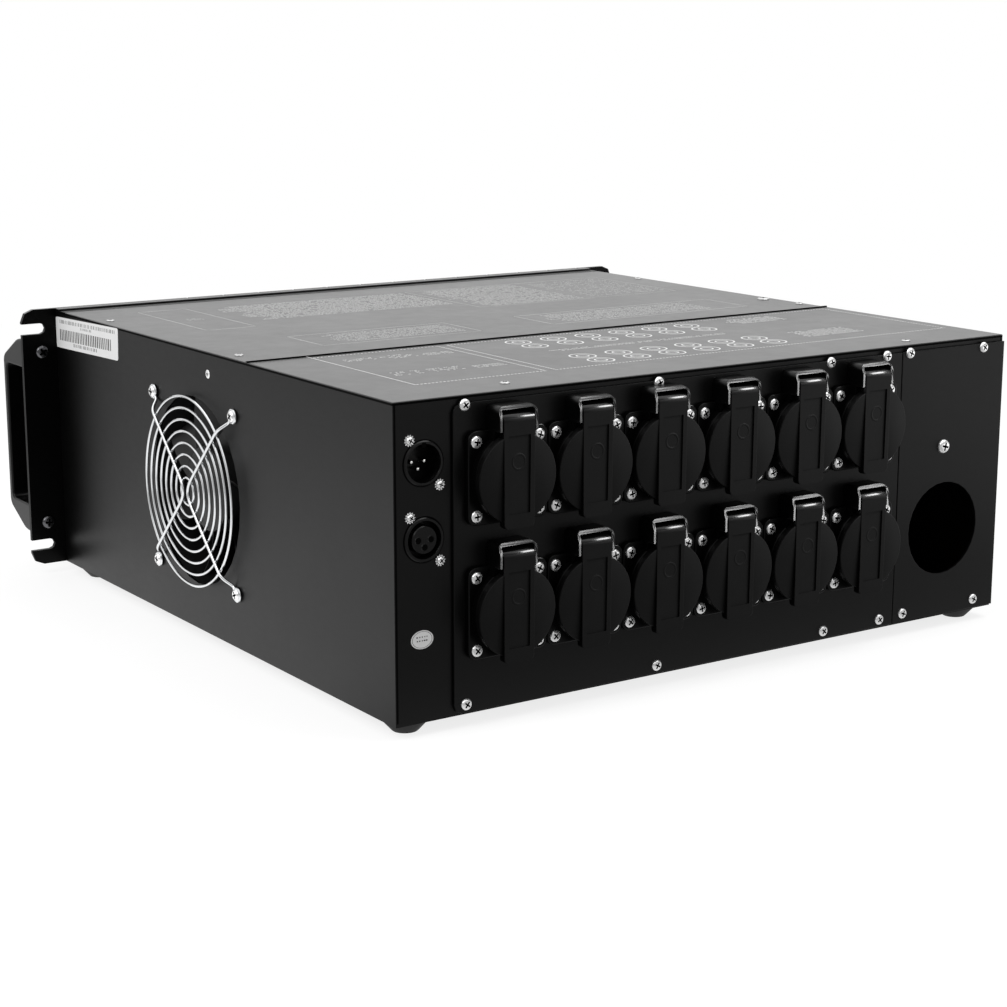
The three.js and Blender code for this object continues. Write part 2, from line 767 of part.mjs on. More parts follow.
function fanRotor() {
  const reach = [fanBack + fanStatorThickness + runGap, fanFace - fanRotorInset];
  const bladeX = [reach[0] + runGap, reach[1] - fanBladeThickness - runGap];
  const tipRadius = fanHoleRadius - fanBladeTipGap;
  const blades = [];
  for (let index = 0; index < fanBladeCount; index += 1) {
    blades.push(fanBlade(bladeX).rotate([(360 * index) / fanBladeCount, 0, 0]));
  }
  const boreEnd = fanBack + fanStatorThickness + fanShaftLength + runGap;
  const hub = rod("x", fanHubRadius, reach, sides.round);
  const trimmed = join(hub, ...blades).intersect(rod("x", tipRadius, reach, sides.large));
  return cut(trimmed, rod("x", fanShaftRadius + runGap, [reach[0] - cutOverrun, boreEnd], sides.small));
}

function wire(points, radius) {
  const upright = new THREE.Vector3(0, 1, 0);
  const lengths = [];
  for (let index = 1; index < points.length; index += 1) {
    const along = points[index].clone().sub(points[index - 1]);
    const middle = points[index].clone().add(points[index - 1]).divideScalar(2);
    const length = new THREE.CylinderGeometry(radius, radius, along.length() + radius, sides.wire);
    length.applyQuaternion(new THREE.Quaternion().setFromUnitVectors(upright, along.normalize()));
    length.translate(...middle.toArray());
    lengths.push(solidOf(length));
  }
  return join(...lengths);
}

function guardSpoke(side) {
  const rest = guardSpokeRadius + seatGap;
  const out = guardOut + guardWireRadius + guardSpokeRadius - weldDepth;
  const corner = fanScrewPitch / 2;
  const diagonal = Math.SQRT1_2;
  const turn = side * guardSpokeMiddle;
  const leave = guardSpokeLeave * diagonal;
  const land = guardSpokeLand * diagonal;
  const end = corner - guardEyeRadius * diagonal;
  const upper = [
    new THREE.Vector3(rest, side * end, end),
    new THREE.Vector3(rest, side * land, land),
    new THREE.Vector3(out, side * leave, leave),
    new THREE.Vector3(out, turn + side * guardSpokeBend, 2 * guardSpokeBend),
  ];
  const lower = upper.map((p) => new THREE.Vector3(p.x, p.y, -p.z)).reverse();
  return wire([...upper, new THREE.Vector3(out, turn, 0), ...lower], guardSpokeRadius);
}

function ringOfWire(radius, wireRadius, out, y, z, count) {
  const torus = new THREE.TorusGeometry(radius, wireRadius, sides.wire, count);
  torus.rotateY(Math.PI / 2);
  torus.translate(out, y, z);
  return solidOf(torus);
}

function fanGuard() {
  const parts = [];
  for (let index = 0; index < guardRingCount; index += 1) {
    const radius = guardOuterRadius - index * guardRingPitch;
    const count = sides.disc - index;
    parts.push(ringOfWire(radius, guardWireRadius, guardOut, 0, 0, count));
  }
  const corner = fanScrewPitch / 2;
  const rest = guardSpokeRadius + seatGap;
  for (const side of [-1, 1]) {
    parts.push(guardSpoke(side));
    for (const end of [-1, 1]) {
      const eye = [guardEyeRadius, guardSpokeRadius, rest, side * corner, end * corner];
      parts.push(ringOfWire(...eye, sides.small));
    }
  }
  return join(...parts);
}

// Circuit breakers: y counts from the panel's front face towards the back
function breakerRow() {
  const noseY = [-breakerNoseProud, breakerNoseDepth];
  const bodyY = upTo(breakerNoseDepth, breakerBodyDepth);
  const slotY = [-breakerNoseProud - cutOverrun, breakerSlotDepth - breakerNoseProud];
  const parts = [];
  const slots = [];
  for (let index = 0; index < breakerCount; index += 1) {
    const x = breakerFirstX + index * breakerPitch;
    parts.push(block(span(x, breakerWidth), [noseY[0], bodyY[0] + weldDepth], span(0, breakerNoseHeight)));
    parts.push(block(span(x, breakerWidth), bodyY, span(0, breakerBodyHeight)));
    slots.push(block(span(x, breakerSlotWidth), slotY, span(0, breakerSlotHeight)));
  }
  const railX = [
    breakerFirstX - railOverhang,
    breakerFirstX + (breakerCount - 1) * breakerPitch + railOverhang,
  ];
  const railY = upTo(bodyY[1] - weldDepth, railDepth);
  const legZ = [sheet + seatGap - breakerZ, 0];
  for (const x of [railX[0] + railLegX / 2, railX[1] - railLegX / 2]) {
    parts.push(block(span(x, railLegWidth), upTo(railY[1] - weldDepth, railLegThickness), legZ));
  }
  return cut(join(block(railX, railY, span(0, railHeight)), ...parts), ...slots);
}

// A toggle: its hub turns about x, the grip hangs below level at rest (off)
function breakerLever() {
  const hub = rod("x", leverHubRadius, span(0, leverWidth), sides.small);
  const grip = block(span(0, leverWidth), [-leverReach, 0], span(0, leverThickness));
  return join(hub, grip.rotate([leverRestDegrees, 0, 0]));
}

// Menu buttons and the board behind them: y counts from the panel's front face
function buttonX(index) {
  return boardX + (index - (buttonCount - 1) / 2) * buttonPitch;
}

function menuButton() {
  const flangeY = upTo(rackPanelThickness + seatGap, buttonFlangeThickness);
  const tail = rackPanelThickness + boardBack - buttonTravel - runGap;
  return join(
    rod("y", buttonRadius, [-buttonProud, flangeY[1]], sides.small),
    rod("y", buttonFlangeRadius, flangeY, sides.small),
    rod("y", buttonStemRadius, [flangeY[0], tail], sides.pin),
  );
}

function controlBoard() {
  const boardY = upTo(rackPanelThickness + boardBack, boardThickness);
  const board = block(span(0, boardWidth), boardY, span(boardZ, boardHeight));
  const displayY = [displaySink, boardY[0] + weldDepth];
  const display = block(span(0, displayWidth), displayY, span(displayZ, displayHeight));
  const posts = [];
  for (const x of [-1, 1]) {
    for (const z of [-1, 1]) {
      const postX = x * (boardWidth / 2 - postInset);
      const postZ = boardZ + z * (boardHeight / 2 - postInset);
      const reach = [rackPanelThickness + seatGap, boardY[0] + weldDepth];
      posts.push(rod("y", postRadius, reach, sides.small, postX, postZ));
    }
  }
  return join(board, display, ...posts);
}

// The power stage on its deck: finned heat sink, twelve chokes and the mains terminals
function powerStage() {
  const floor = sheet + seatGap;
  const deckZ = upTo(floor + deckLegHeight, deckThickness);
  const top = deckZ[1] - weldDepth;
  const parts = [block(span(deckX, deckWidth), span(deckY, deckLength), deckZ)];
  for (const x of [-1, 1]) {
    for (const y of [-1, 1]) {
      const legX = deckX + x * (deckWidth / 2 - deckLegInset);
      const legY = deckY + y * (deckLength / 2 - deckLegInset);
      parts.push(rod("z", deckLegRadius, [floor, deckZ[0] + weldDepth], sides.small, legX, legY));
    }
  }
  parts.push(block(span(deckX, sinkWidth), span(sinkY, sinkLength), upTo(top, sinkBase)));
  const finZ = upTo(top + sinkBase - weldDepth, finHeight);
  for (let index = 0; index < finCount; index += 1) {
    const y = sinkY + ((index / (finCount - 1)) * 2 - 1) * ((sinkLength - finThickness) / 2);
    parts.push(block(span(deckX, sinkWidth), span(y, finThickness), finZ));
  }
  for (let row = 0; row < breakerCount / chokeColumns; row += 1) {
    for (let column = 0; column < chokeColumns; column += 1) {
      const x = deckX + (column - (chokeColumns - 1) / 2) * chokePitch;
      const y = chokeFirstY + row * chokeRowPitch;
      parts.push(rod("z", chokeRadius, upTo(top, chokeHeight), sides.small, x, y));
    }
  }
  const blockX = span(cableX, terminalWidth);
  parts.push(block(blockX, span(terminalY, terminalDepth), upTo(top, terminalHeight)));
  return join(...parts);
}

// The assembly
const pack = new THREE.Group();
const body = placed(new THREE.Group(), 0, -frontToBack, footHeight + seatGap);
pack.add(body);

body.add(piece("case_tray", caseTray(), "powderCoat"));
const railEnd = seatGap + frontRailDepth;
const frontCoverY = [railEnd + coverSeamGap, coverSeamY - coverSeamGap / 2];
body.add(piece("front_top_cover", topCover(frontCoverY), "coverCoat"));
const rearCoverY = [coverSeamY + coverSeamGap / 2, caseDepth];
body.add(piece("rear_top_cover", topCover(rearCoverY), "coverCoat"));
body.add(piece("rack_panel", rackPanel(), "powderCoat"));
body.add(piece("outlet_plate", outletPlate(), "powderCoat"));
body.add(piece("terminal_cover", terminalCover(), "powderCoat"));
body.add(piece("power_stage", powerStage(), "aluminium"));

for (const [side, x] of [["fan_side", 1], ["far_side", -1]]) {
  const handle = piece("handle_" + side, bowHandle(), "handleCoat");
  body.add(placed(handle, x * handleX, rackPanelFront - seatGap, rackMiddle));
  for (const [end, y] of [["front", footFrontY], ["rear", caseDepth - footRearInset]]) {
    const foot = piece("foot_" + end + "_" + side, rubberFoot(), "rubber");
    body.add(placed(foot, x * footX, y, -seatGap - footHeight));
  }
}

outletPlaces().forEach(([x, z], index) => {
  const number = String(index + 1).padStart(2, "0");
  const outlet = placed(new THREE.Group(), x, plateFace + seatGap, z);
  outlet.add(piece("outlet_body_" + number, outletBody(), "blackPlastic"));
  const lid = piece("outlet_lid_" + number, outletLid(), "blackPlastic");
  outlet.add(placed(lid, 0, hingeOut, hingeUp));
  body.add(outlet);
});

const connectors = placed(new THREE.Group(), connectorX, caseDepth, connectorMaleZ);
connectors.add(piece("connector_male", maleConnector(), "connectorBlack"));
const female = piece("connector_female", femaleConnector(), "connectorBlack");
connectors.add(placed(female, 0, 0, -connectorPitch));
body.add(connectors);

const fan = placed(new THREE.Group(), caseWidth / 2, fanY, fanZ);
fan.add(piece("fan_frame", fanFrame(), "blackPlastic"));
fan.add(piece("fan_rotor", fanRotor(), "blackPlastic"));
fan.add(piece("fan_guard", fanGuard(), "chrome"));
body.add(fan);

const front = placed(new THREE.Group(), 0, rackPanelFront, 0);
front.add(placed(piece("breaker_row", breakerRow(), "breakerGrey"), 0, 0, breakerZ));
for (let index = 0; index < breakerCount; index += 1) {
  const number = String(index + 1).padStart(2, "0");
  const lever = piece("breaker_lever_" + number, breakerLever(), "leverBlack");
  const x = breakerFirstX + index * breakerPitch;
  front.add(placed(lever, x, leverHubSink - breakerNoseProud, breakerZ));
}
for (let index = 0; index < buttonCount; index += 1) {
  const button = piece("menu_button_" + (index + 1), menuButton(), "buttonGrey");
  front.add(placed(button, buttonX(index), 0, buttonZ));
}
front.add(placed(piece("control_board", controlBoard(), "boardGreen"), boardX, 0, 0));
body.add(front);

export default pack;
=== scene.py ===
# %% [markdown]
# # A rack dimmer pack in Blender
# A dimmer pack feeds the lamps of a small stage. It is a steel box, four rack units high, with
# twelve lidded mains outlets on its back, a fan in one side and breaker toggles in front.
# Its construction comes as a ready frame, in which every solid has its real size and place.
# This lesson dresses that frame: finer meshes where the solids are plain, and finishes for all.

# %% Load the frame
import json
import math
import random

import bmesh
import bpy
from mathutils import Matrix, Vector

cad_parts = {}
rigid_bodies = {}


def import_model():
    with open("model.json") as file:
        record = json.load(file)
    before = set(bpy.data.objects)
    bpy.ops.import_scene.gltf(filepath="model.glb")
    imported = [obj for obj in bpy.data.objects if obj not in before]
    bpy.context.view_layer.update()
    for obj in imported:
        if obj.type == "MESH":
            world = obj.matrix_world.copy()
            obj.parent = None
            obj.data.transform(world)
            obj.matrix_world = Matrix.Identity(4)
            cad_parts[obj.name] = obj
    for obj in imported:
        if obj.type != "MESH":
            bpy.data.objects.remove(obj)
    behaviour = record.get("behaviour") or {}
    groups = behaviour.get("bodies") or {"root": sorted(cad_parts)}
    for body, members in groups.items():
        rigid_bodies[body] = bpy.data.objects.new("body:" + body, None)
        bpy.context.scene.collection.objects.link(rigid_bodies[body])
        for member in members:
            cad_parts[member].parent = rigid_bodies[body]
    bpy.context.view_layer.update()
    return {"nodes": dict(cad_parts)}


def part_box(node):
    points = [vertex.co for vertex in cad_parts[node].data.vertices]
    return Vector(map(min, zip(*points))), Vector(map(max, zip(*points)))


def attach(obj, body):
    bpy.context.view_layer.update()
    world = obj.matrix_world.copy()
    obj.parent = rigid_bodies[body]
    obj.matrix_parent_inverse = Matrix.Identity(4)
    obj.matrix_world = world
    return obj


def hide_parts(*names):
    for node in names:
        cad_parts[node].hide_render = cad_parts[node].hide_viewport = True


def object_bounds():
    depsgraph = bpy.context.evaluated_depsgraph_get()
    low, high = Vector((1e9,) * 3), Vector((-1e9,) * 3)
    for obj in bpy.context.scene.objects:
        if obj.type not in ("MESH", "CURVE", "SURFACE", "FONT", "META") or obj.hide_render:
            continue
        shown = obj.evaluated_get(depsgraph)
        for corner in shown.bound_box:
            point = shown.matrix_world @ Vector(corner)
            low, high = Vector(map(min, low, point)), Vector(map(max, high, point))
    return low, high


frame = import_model()
print("nodes in the frame:", len(frame["nodes"]))

# %% [markdown]
# ## The case's own millimetres
# A maker measures from the case: x from its middle, y from its front edge, z from its underside.
# Each piece below is modelled in those millimetres, and one matrix takes it into the frame's
# metres at the end. The frame's tray fixes where that origin is.

# %% The case's coordinates
MM = 0.001
SEAT_GAP = 0.3
tray_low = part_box("case_tray")[0]
CASE_ORIGIN = Vector((0, tray_low.y - SEAT_GAP * MM, tray_low.z))
TO_FRAME = Matrix.Translation(CASE_ORIGIN) @ Matrix.Scale(MM, 4)


def in_case(point):
    """A point of the frame, in the case's millimetres."""
    return (point - CASE_ORIGIN) / MM


def node_span(node):
    """The lowest and highest corner of a node, in the case's millimetres."""
    low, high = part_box(node)
    return in_case(low), in_case(high)


def node_middle(node):
    low, high = node_span(node)
    return (low + high) / 2


def put(name, data):
    """A new object in the scene."""
    made = bpy.data.objects.new(name, data)
    bpy.context.scene.collection.objects.link(made)
    return made


case_low, case_high = node_span("case_tray")
HALF_WIDTH = case_high.x
CASE_DEPTH = case_high.y
CASE_TOP = case_high.z
print("case, mm:", [round(v, 1) for v in case_high - case_low])

# %% [markdown]
# ## The camera
# The picture was taken from behind, off to the fan's side and a little above the lid. Its place
# and focal length were worked out from edges whose sizes are known, and the picture is square.

# %% The camera
PHOTO_SIDE_PX = 1007
FOCAL_PX = 2148.5
SENSOR_MM = 36
CAMERA_PLACE = Vector((764.4, 1340.4, 355.4))
CAMERA_AZIMUTH = math.radians(145.97)
CAMERA_ELEVATION = math.radians(12.56)

lens = bpy.data.cameras.new("camera")
lens.sensor_width = SENSOR_MM
lens.lens = SENSOR_MM * FOCAL_PX / PHOTO_SIDE_PX
lens.clip_end = 50
camera = put("camera", lens)
camera.location = TO_FRAME @ CAMERA_PLACE
camera.rotation_euler = (math.pi / 2 - CAMERA_ELEVATION, 0, CAMERA_AZIMUTH)
bpy.context.scene.camera = camera
print("lens, mm:", round(lens.lens, 1))

# %% [markdown]
# ## Writing finishes as expressions
# A finish is a little graph of nodes. Wiring it by hand hides the idea, so `Signal` wraps a
# socket and turns `1 - mask * 0.5` into Math nodes, and `Finish.node` adds any other node.

# %% Signals
class Signal:
    """One output socket, which can be added, multiplied and compared like a number."""

    def __init__(self, finish, socket):
        self.finish = finish
        self.socket = socket

    def maths(self, operation, first, second):
        return self.finish.node("ShaderNodeMath", {"operation": operation}, [first, second])

    def __add__(self, other):
        return self.maths("ADD", self, other)

    def __sub__(self, other):
        return self.maths("SUBTRACT", self, other)

    def __rsub__(self, other):
        return self.maths("SUBTRACT", other, self)

    def __mul__(self, other):
        return self.maths("MULTIPLY", self, other)

    def __truediv__(self, other):
        return self.maths("DIVIDE", self, other)

    def __rtruediv__(self, other):
        return self.maths("DIVIDE", other, self)

    __radd__ = __add__
    __rmul__ = __mul__

# %% Graphs
class Graph:
    """A node tree that is being wired up."""

    def __init__(self, tree):
        self.tree = tree

    def node(self, kind, settings=None, inputs=(), output=0):
        """Adds a node: first its settings, then what its sockets get, by order or by name."""
        made = self.tree.nodes.new(kind)
        for name, value in (settings or {}).items():
            setattr(made, name, value)
        pairs = inputs.items() if isinstance(inputs, dict) else enumerate(inputs)
        for key, value in pairs:
            self.feed(made.inputs[key], value)
        return Signal(self, made.outputs[output])

    def feed(self, socket, value):
        if isinstance(value, Signal):
            self.tree.links.new(value.socket, socket)
        else:
            socket.default_value = value

    def ray(self, kind):
        """1 for rays of a kind, such as Is Camera Ray, and 0 for all others."""
        return self.node("ShaderNodeLightPath", output=kind)

    def mirror_rays(self):
        return self.ray("Is Glossy Ray") + self.ray("Is Transmission Ray")

    def part(self, vector, axis):
        """One of the numbers of a vector: X, Y or Z."""
        return self.node("ShaderNodeSeparateXYZ", inputs=[vector], output=axis)

    def spread(self, signal, start, end, first, last):
        """A signal that runs from first, at start, to last, at end, and stays there."""
        inputs = {"Value": signal, "From Min": start, "From Max": end}
        inputs |= {"To Min": first, "To Max": last}
        return self.node("ShaderNodeMapRange", {"interpolation_type": "SMOOTHSTEP"}, inputs)

# %% Finishes
class Finish(Graph):
    """A material that is being put together around one Principled BSDF."""

    def __init__(self, name):
        self.material = bpy.data.materials.new(name)
        self.material.use_nodes = True
        super().__init__(self.material.node_tree)
        self.shader = self.tree.nodes["Principled BSDF"]

    def set(self, **sockets):
        """Feeds the shader's sockets, such as Base_Color or Roughness."""
        for name, value in sockets.items():
            self.feed(self.shader.inputs[name.replace("_", " ")], value)
        return self

    def place(self, scale):
        """Object coordinates, in metres, stretched by scale."""
        spot = self.node("ShaderNodeTexCoord", output="Object")
        return self.node("ShaderNodeMapping", inputs={"Vector": spot, "Scale": scale})

    def noise(self, size_mm, detail, scale=(1, 1, 1)):
        """A cloudy pattern from 0 to 1 with lumps of about size_mm."""
        inputs = {"Vector": self.place(scale), "Scale": 1 / (size_mm * MM), "Detail": detail}
        return self.node("ShaderNodeTexNoise", inputs=inputs, output="Fac")

    def between(self, signal, low, high):
        """A signal of 0 to 1 spread from low to high."""
        return signal * (high - low) + low

    def blend(self, factor, first, second):
        """A colour that goes from first to second. A Mix node has its colours at 6 and 7."""
        colours = {0: factor, 6: first, 7: second}
        return self.node("ShaderNodeMix", {"data_type": "RGBA"}, colours, output=2)

    def bump(self, height, distance_mm, strength):
        """Small unevenness, distance_mm from its lowest to its highest."""
        inputs = {"Strength": strength, "Distance": distance_mm * MM, "Height": height}
        self.set(Normal=self.node("ShaderNodeBump", inputs=inputs))
        return self


def grey(value):
    return (value, value, value, 1)

# %% [markdown]
# ## The finishes
# Nearly all of this object is black, so what tells the pieces apart is how they shine. Powder
# coat is a melted film with fine orange peel; it is matt from straight ahead and turns silver at
# a grazing angle, which is why the lid looks grey. Moulded plastic has a spark-eroded grain.

# %% Black finishes
def powder_coat(name, colour, roughness, index, peel_mm=0.9, depth_mm=0.02):
    """Black powder coat: a melted film, with orange peel and faint cloudiness."""
    coat = Finish(name)
    peel = coat.noise(peel_mm, detail=3)
    ripple = coat.noise(peel_mm * 5, detail=3)
    clouds = coat.noise(60, detail=3)
    rubs = coat.noise(9, detail=4, scale=(1, 1, 3))
    coat.set(Base_Color=coat.blend(clouds, grey(colour * 0.75), grey(colour * 1.3)))
    uneven = rubs * 0.5 + clouds * 0.5
    coat.set(Roughness=coat.between(uneven, roughness - 0.06, roughness + 0.08), IOR=index)
    coat.bump(peel + ripple, depth_mm, 0.8)
    return coat.material


def moulded(name, colour, roughness, index, grain_mm=0.3, depth_mm=0.01, tint=(1, 1, 1)):
    """Injection moulded plastic with a spark-eroded grain."""
    plastic = Finish(name)
    grain = plastic.noise(grain_mm, detail=2)
    clouds = plastic.noise(14, detail=3)
    tones = [[share * colour * c for c in tint] + [1] for share in (0.8, 1.2)]
    plastic.set(Base_Color=plastic.blend(clouds, *tones))
    plastic.set(Roughness=plastic.between(clouds, roughness - 0.05, roughness + 0.06), IOR=index)
    plastic.bump(grain, depth_mm, 0.7)
    return plastic.material


case_coat = powder_coat("case_coat", 0.0012, 0.38, 1.25)
cover_coat = powder_coat("cover_coat", 0.006, 0.3, 1.5, peel_mm=0.7)
panel_coat = powder_coat("panel_coat", 0.0005, 0.32, 1.16)
handle_coat = powder_coat("handle_coat", 0.001, 0.3, 1.25, peel_mm=0.5)
outlet_gloss = moulded("outlet_gloss", 0.0008, 0.3, 1.22, grain_mm=2, depth_mm=0.004)
lid_polish = moulded("lid_polish", 0.0008, 0.17, 1.25, grain_mm=2, depth_mm=0.004)
lid_grain = moulded("lid_grain", 0.0015, 0.45, 1.2)
fan_plastic = moulded("fan_plastic", 0.01, 0.4, 1.35)
connector_black = moulded("connector_black", 0.001, 0.24, 1.3, depth_mm=0.004)
# A black for the display's bezel, which also paints shade into gaps, hollows and recesses.
black_and_painted_shade = moulded("black_and_painted_shade", 0.0006, 0.6, 1.1)
rubber = moulded("rubber", 0.008, 0.7, 1.4, grain_mm=0.5, depth_mm=0.03)
breaker_plastic = moulded("breaker_plastic", 0.42, 0.4, 1.45)
toggle_plastic = moulded("toggle_plastic", 0.012, 0.3, 1.45)
button_plastic = moulded("button_plastic", 0.07, 0.45, 1.45)
print("black and plastic finishes:", len(bpy.data.materials))

# %% [markdown]
# ## Metals, paper and ink
# Chrome wire and zinc-plated screws are nearly mirrors, so they only need a little unevenness in
# their roughness. Labels and screen print are matt and white.

# %% Bright finishes
def metal(name, colour, roughness, mottle=0.06, size_mm=3.0, metallic=1.0):
    """Plated or bare metal, with slightly uneven polish."""
    plate = Finish(name)
    uneven = plate.noise(size_mm, detail=4)
    tone = [c * 0.86 for c in colour] + [1]
    plate.set(Base_Color=plate.blend(uneven, tone, [*colour, 1]), Metallic=metallic)
    plate.set(Roughness=plate.between(uneven, roughness - mottle, roughness + mottle))
    return plate.material


def ink(name, colour, roughness=0.5):
    """Screen print or paper: flat, with a faint fibre."""
    film = Finish(name)
    fibre = film.noise(0.6, detail=3)
    darker = [c * 0.9 for c in colour] + [1]
    film.set(Base_Color=film.blend(fibre, darker, [*colour, 1]))
    film.set(Roughness=film.between(fibre, roughness - 0.05, roughness + 0.05), IOR=1.4)
    film.bump(fibre, 0.004, 0.4)
    return film.material


chrome = metal("chrome", (0.66, 0.67, 0.68), 0.14)
screw_zinc = metal("screw_zinc", (0.88, 0.88, 0.88), 0.24, metallic=0.8)
cover_zinc = metal("cover_zinc", (0.5, 0.5, 0.5), 0.28, metallic=0.9)
black_steel = metal("black_steel", (0.1, 0.1, 0.105), 0.24)
pin_silver = metal("pin_silver", (0.9, 0.9, 0.88), 0.16)
sink_aluminium = metal("sink_aluminium", (0.62, 0.63, 0.64), 0.35, size_mm=8)
board_green = moulded("board_green", 0.12, 0.35, 1.5, tint=(0.25, 1, 0.5))
label_white = ink("label_white", (0.88, 0.88, 0.88))
label_ink = ink("label_ink", (0.02, 0.02, 0.02))
faint_ink = ink("faint_ink", (0.16, 0.16, 0.16))
print_white = ink("print_white", (0.72, 0.72, 0.72))
print_bright = ink("print_bright", (0.92, 0.92, 0.92))
sticker_silver = ink("sticker_silver", (0.62, 0.62, 0.62), 0.35)
display_glass = moulded("display_glass", 0.09, 0.1, 1.5, depth_mm=0.001, tint=(0.75, 1, 0.6))
display_cells = moulded("display_cells", 0.06, 0.1, 1.5, depth_mm=0.001, tint=(0.75, 1, 0.6))
choke_copper = metal("choke_copper", (0.5, 0.21, 0.09), 0.42, size_mm=1.2, metallic=0.85)
terminal_plastic = moulded("terminal_plastic", 0.07, 0.45, 1.45)
print("all finishes:", len(bpy.data.materials))

# %% [markdown]
# ## Making and keeping shapes
# A shape is a bmesh in the case's millimetres. `keep` turns it into a finished piece: it moves
# the shape into the frame, gives it its finish, lets round faces shade smooth, says which
# body the piece rides on, and hides the solids that it stands for.

# %% Keeping a shape
SMOOTH_BELOW = math.radians(32)
BROAD_FACE = 60 * MM**2
SMALL_FACE = 3 * MM**2


def is_plane(polygon):
    """A flat face of a sheet, whose soft edge would otherwise bend its shading."""
    least = SMALL_FACE if len(polygon.vertices) > 4 else BROAD_FACE
    return polygon.area > least and max(abs(c) for c in polygon.normal) > 0.9999


def poured(shape, name="scrap"):
    """A mesh that takes over what is in the shape."""
    mesh = bpy.data.meshes.new(name)
    shape.to_mesh(mesh)
    shape.free()
    return mesh


def as_matrix(place):
    return place if isinstance(place, Matrix) else Matrix.Translation(place)


def moved(shape, place):
    """The shape, taken by a matrix or to a point."""
    bmesh.ops.transform(shape, matrix=as_matrix(place), verts=shape.verts)
    return shape


def keep(name, shape, finishes, stands_for=(), body="case"):
    """Makes a finished piece out of a shape."""
    mesh = poured(moved(shape, TO_FRAME), name)
    for finish in finishes if isinstance(finishes, list) else [finishes]:
        mesh.materials.append(finish)
    mesh.set_sharp_from_angle(angle=SMOOTH_BELOW)
    mesh.polygons.foreach_set("use_smooth", [not is_plane(p) for p in mesh.polygons])
    piece = put(name, mesh)
    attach(piece, body)
    if stands_for:
        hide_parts(*stands_for)
    print(name, "has", len(mesh.polygons), "faces")

# %% [markdown]
# ## The folded tray
# The floor, the sides and the back are one sheet, folded over a press brake, so the long outer
# edges have a small radius that catches the light, while cut edges such as the fan's hole stay
# sharp. The solid already has every hole, so a copy of it gets only the folds.

# %% Bevels, and copies of the frame's solids
def rounded(shape, width, segments, angle=math.radians(30), test=None):
    """Bevels the edges that are sharper than angle, or those that the test picks."""
    sharp = [e for e in shape.edges if len(e.link_faces) == 2 and e.calc_face_angle(0) > angle]
    if test:
        sharp = [e for e in sharp if test(e)]
    how = {"affect": "EDGES", "profile": 0.5, "clamp_overlap": True, "material": -1}
    bmesh.ops.bevel(shape, geom=sharp, offset=width, segments=segments, **how)
    return shape


def copy_of(node):
    """A node's mesh in the case's millimetres, merged and freed of its triangles."""
    shape = bmesh.new()
    shape.from_mesh(frame["nodes"][node].data)
    moved(shape, TO_FRAME.inverted())
    bmesh.ops.remove_doubles(shape, verts=shape.verts, dist=1e-3)
    flat = math.radians(0.5)
    bmesh.ops.dissolve_limit(shape, angle_limit=flat, verts=shape.verts, edges=shape.edges)
    return shape

# %% The tray
FOLD_RADIUS = 0.6
LONG_EDGE = 100


def is_long_fold(edge):
    return edge.calc_length() > LONG_EDGE and all(
        abs(abs(v.co.x) - HALF_WIDTH) < 0.1 or v.co.z < 0.1 for v in edge.verts
    )


tray = rounded(copy_of("case_tray"), FOLD_RADIUS, 3, test=is_long_fold)
keep("tray", tray, case_coat, ["case_tray"])

# %% [markdown]
# ## Covers and plates
# The two top covers and the two plates on the back are flat sheets that were punched and then
# coated. Their rims are not sharp: the coat draws back from an edge and leaves it rounded, so a
# thin bright line runs round each plate.

# %% Covers and plates
COVER_EDGE = 0.45
PLATE_EDGE = 0.35


def painted(shape, pick):
    """Gives each face the finish whose number pick returns for it."""
    for face in shape.faces:
        face.material_index = int(pick(face))
    return shape


for node in ("front_top_cover", "rear_top_cover"):
    cover = rounded(copy_of(node), COVER_EDGE, 2)
    keep(node + "_sheet", cover, cover_coat, [node])
for node in ("outlet_plate", "terminal_cover"):
    plate = rounded(copy_of(node), PLATE_EDGE, 2, test=lambda e: e.calc_length() > 2)
    keep(node + "_sheet", plate, case_coat, [node])
panel = rounded(copy_of("rack_panel"), PLATE_EDGE, 2, test=lambda e: e.calc_length() > 1)
# Its upward faces take the covers' lighter, shinier coat: a painted sheen for the light that the
# top catches.
painted(panel, lambda f: f.normal.z > 0.3 and f.calc_center_median().z > CASE_TOP)
keep("rack_panel_sheet", panel, [panel_coat, cover_coat], ["rack_panel"])

# %% Folded edges of the panel and of the front cover
FOLD_DEPTH = 6
LIP_DEPTH = 1.5
LIP_HEIGHT = 0.8


def block(low, high, edge=0.0, segments=2):
    """A box between two corners, with rounded edges."""
    low, high = Vector(low), Vector(high)
    shape = bmesh.new()
    size = Matrix.Diagonal((*(high - low), 1))
    bmesh.ops.create_cube(shape, size=1, matrix=Matrix.Translation((low + high) / 2) @ size)
    return rounded(shape, edge, segments) if edge else shape


_, cover_rear, cover_top = node_span("front_top_cover")[1]
_, panel_back, panel_top = node_span("rack_panel")[1]
fold_low = (-HALF_WIDTH, panel_back, cover_top + 0.3)
fold_high = (HALF_WIDTH, panel_back + FOLD_DEPTH, panel_top - 0.05)
# The fold takes the covers' coat too, as the same painted sheen.
keep("panel_fold", block(fold_low, fold_high, 0.42, 3), cover_coat)
# The front cover's lip: its faces that look back are black, as painted shade on that edge.
lip_low = (-HALF_WIDTH, cover_rear - LIP_DEPTH, cover_top - 0.1)
lip = block(lip_low, (HALF_WIDTH, cover_rear, cover_top + LIP_HEIGHT), 0.15)
painted(lip, lambda f: f.normal.y > 0.5)
keep("cover_lip", lip, [cover_coat, black_and_painted_shade])

# %% [markdown]
# ## Seams
# Two coated sheets never touch all along: a gap as wide as a fingernail is thick stays under the
# covers and beside the back. The shade in that gap is painted as a thin black strip of its own.

# %% Seams
SEAM = 0.03


def joined(*shapes):
    """One shape out of several."""
    whole = shapes[0]
    for shape in shapes[1:]:
        scrap = poured(shape)
        whole.from_mesh(scrap)
        bpy.data.meshes.remove(scrap)
    return whole


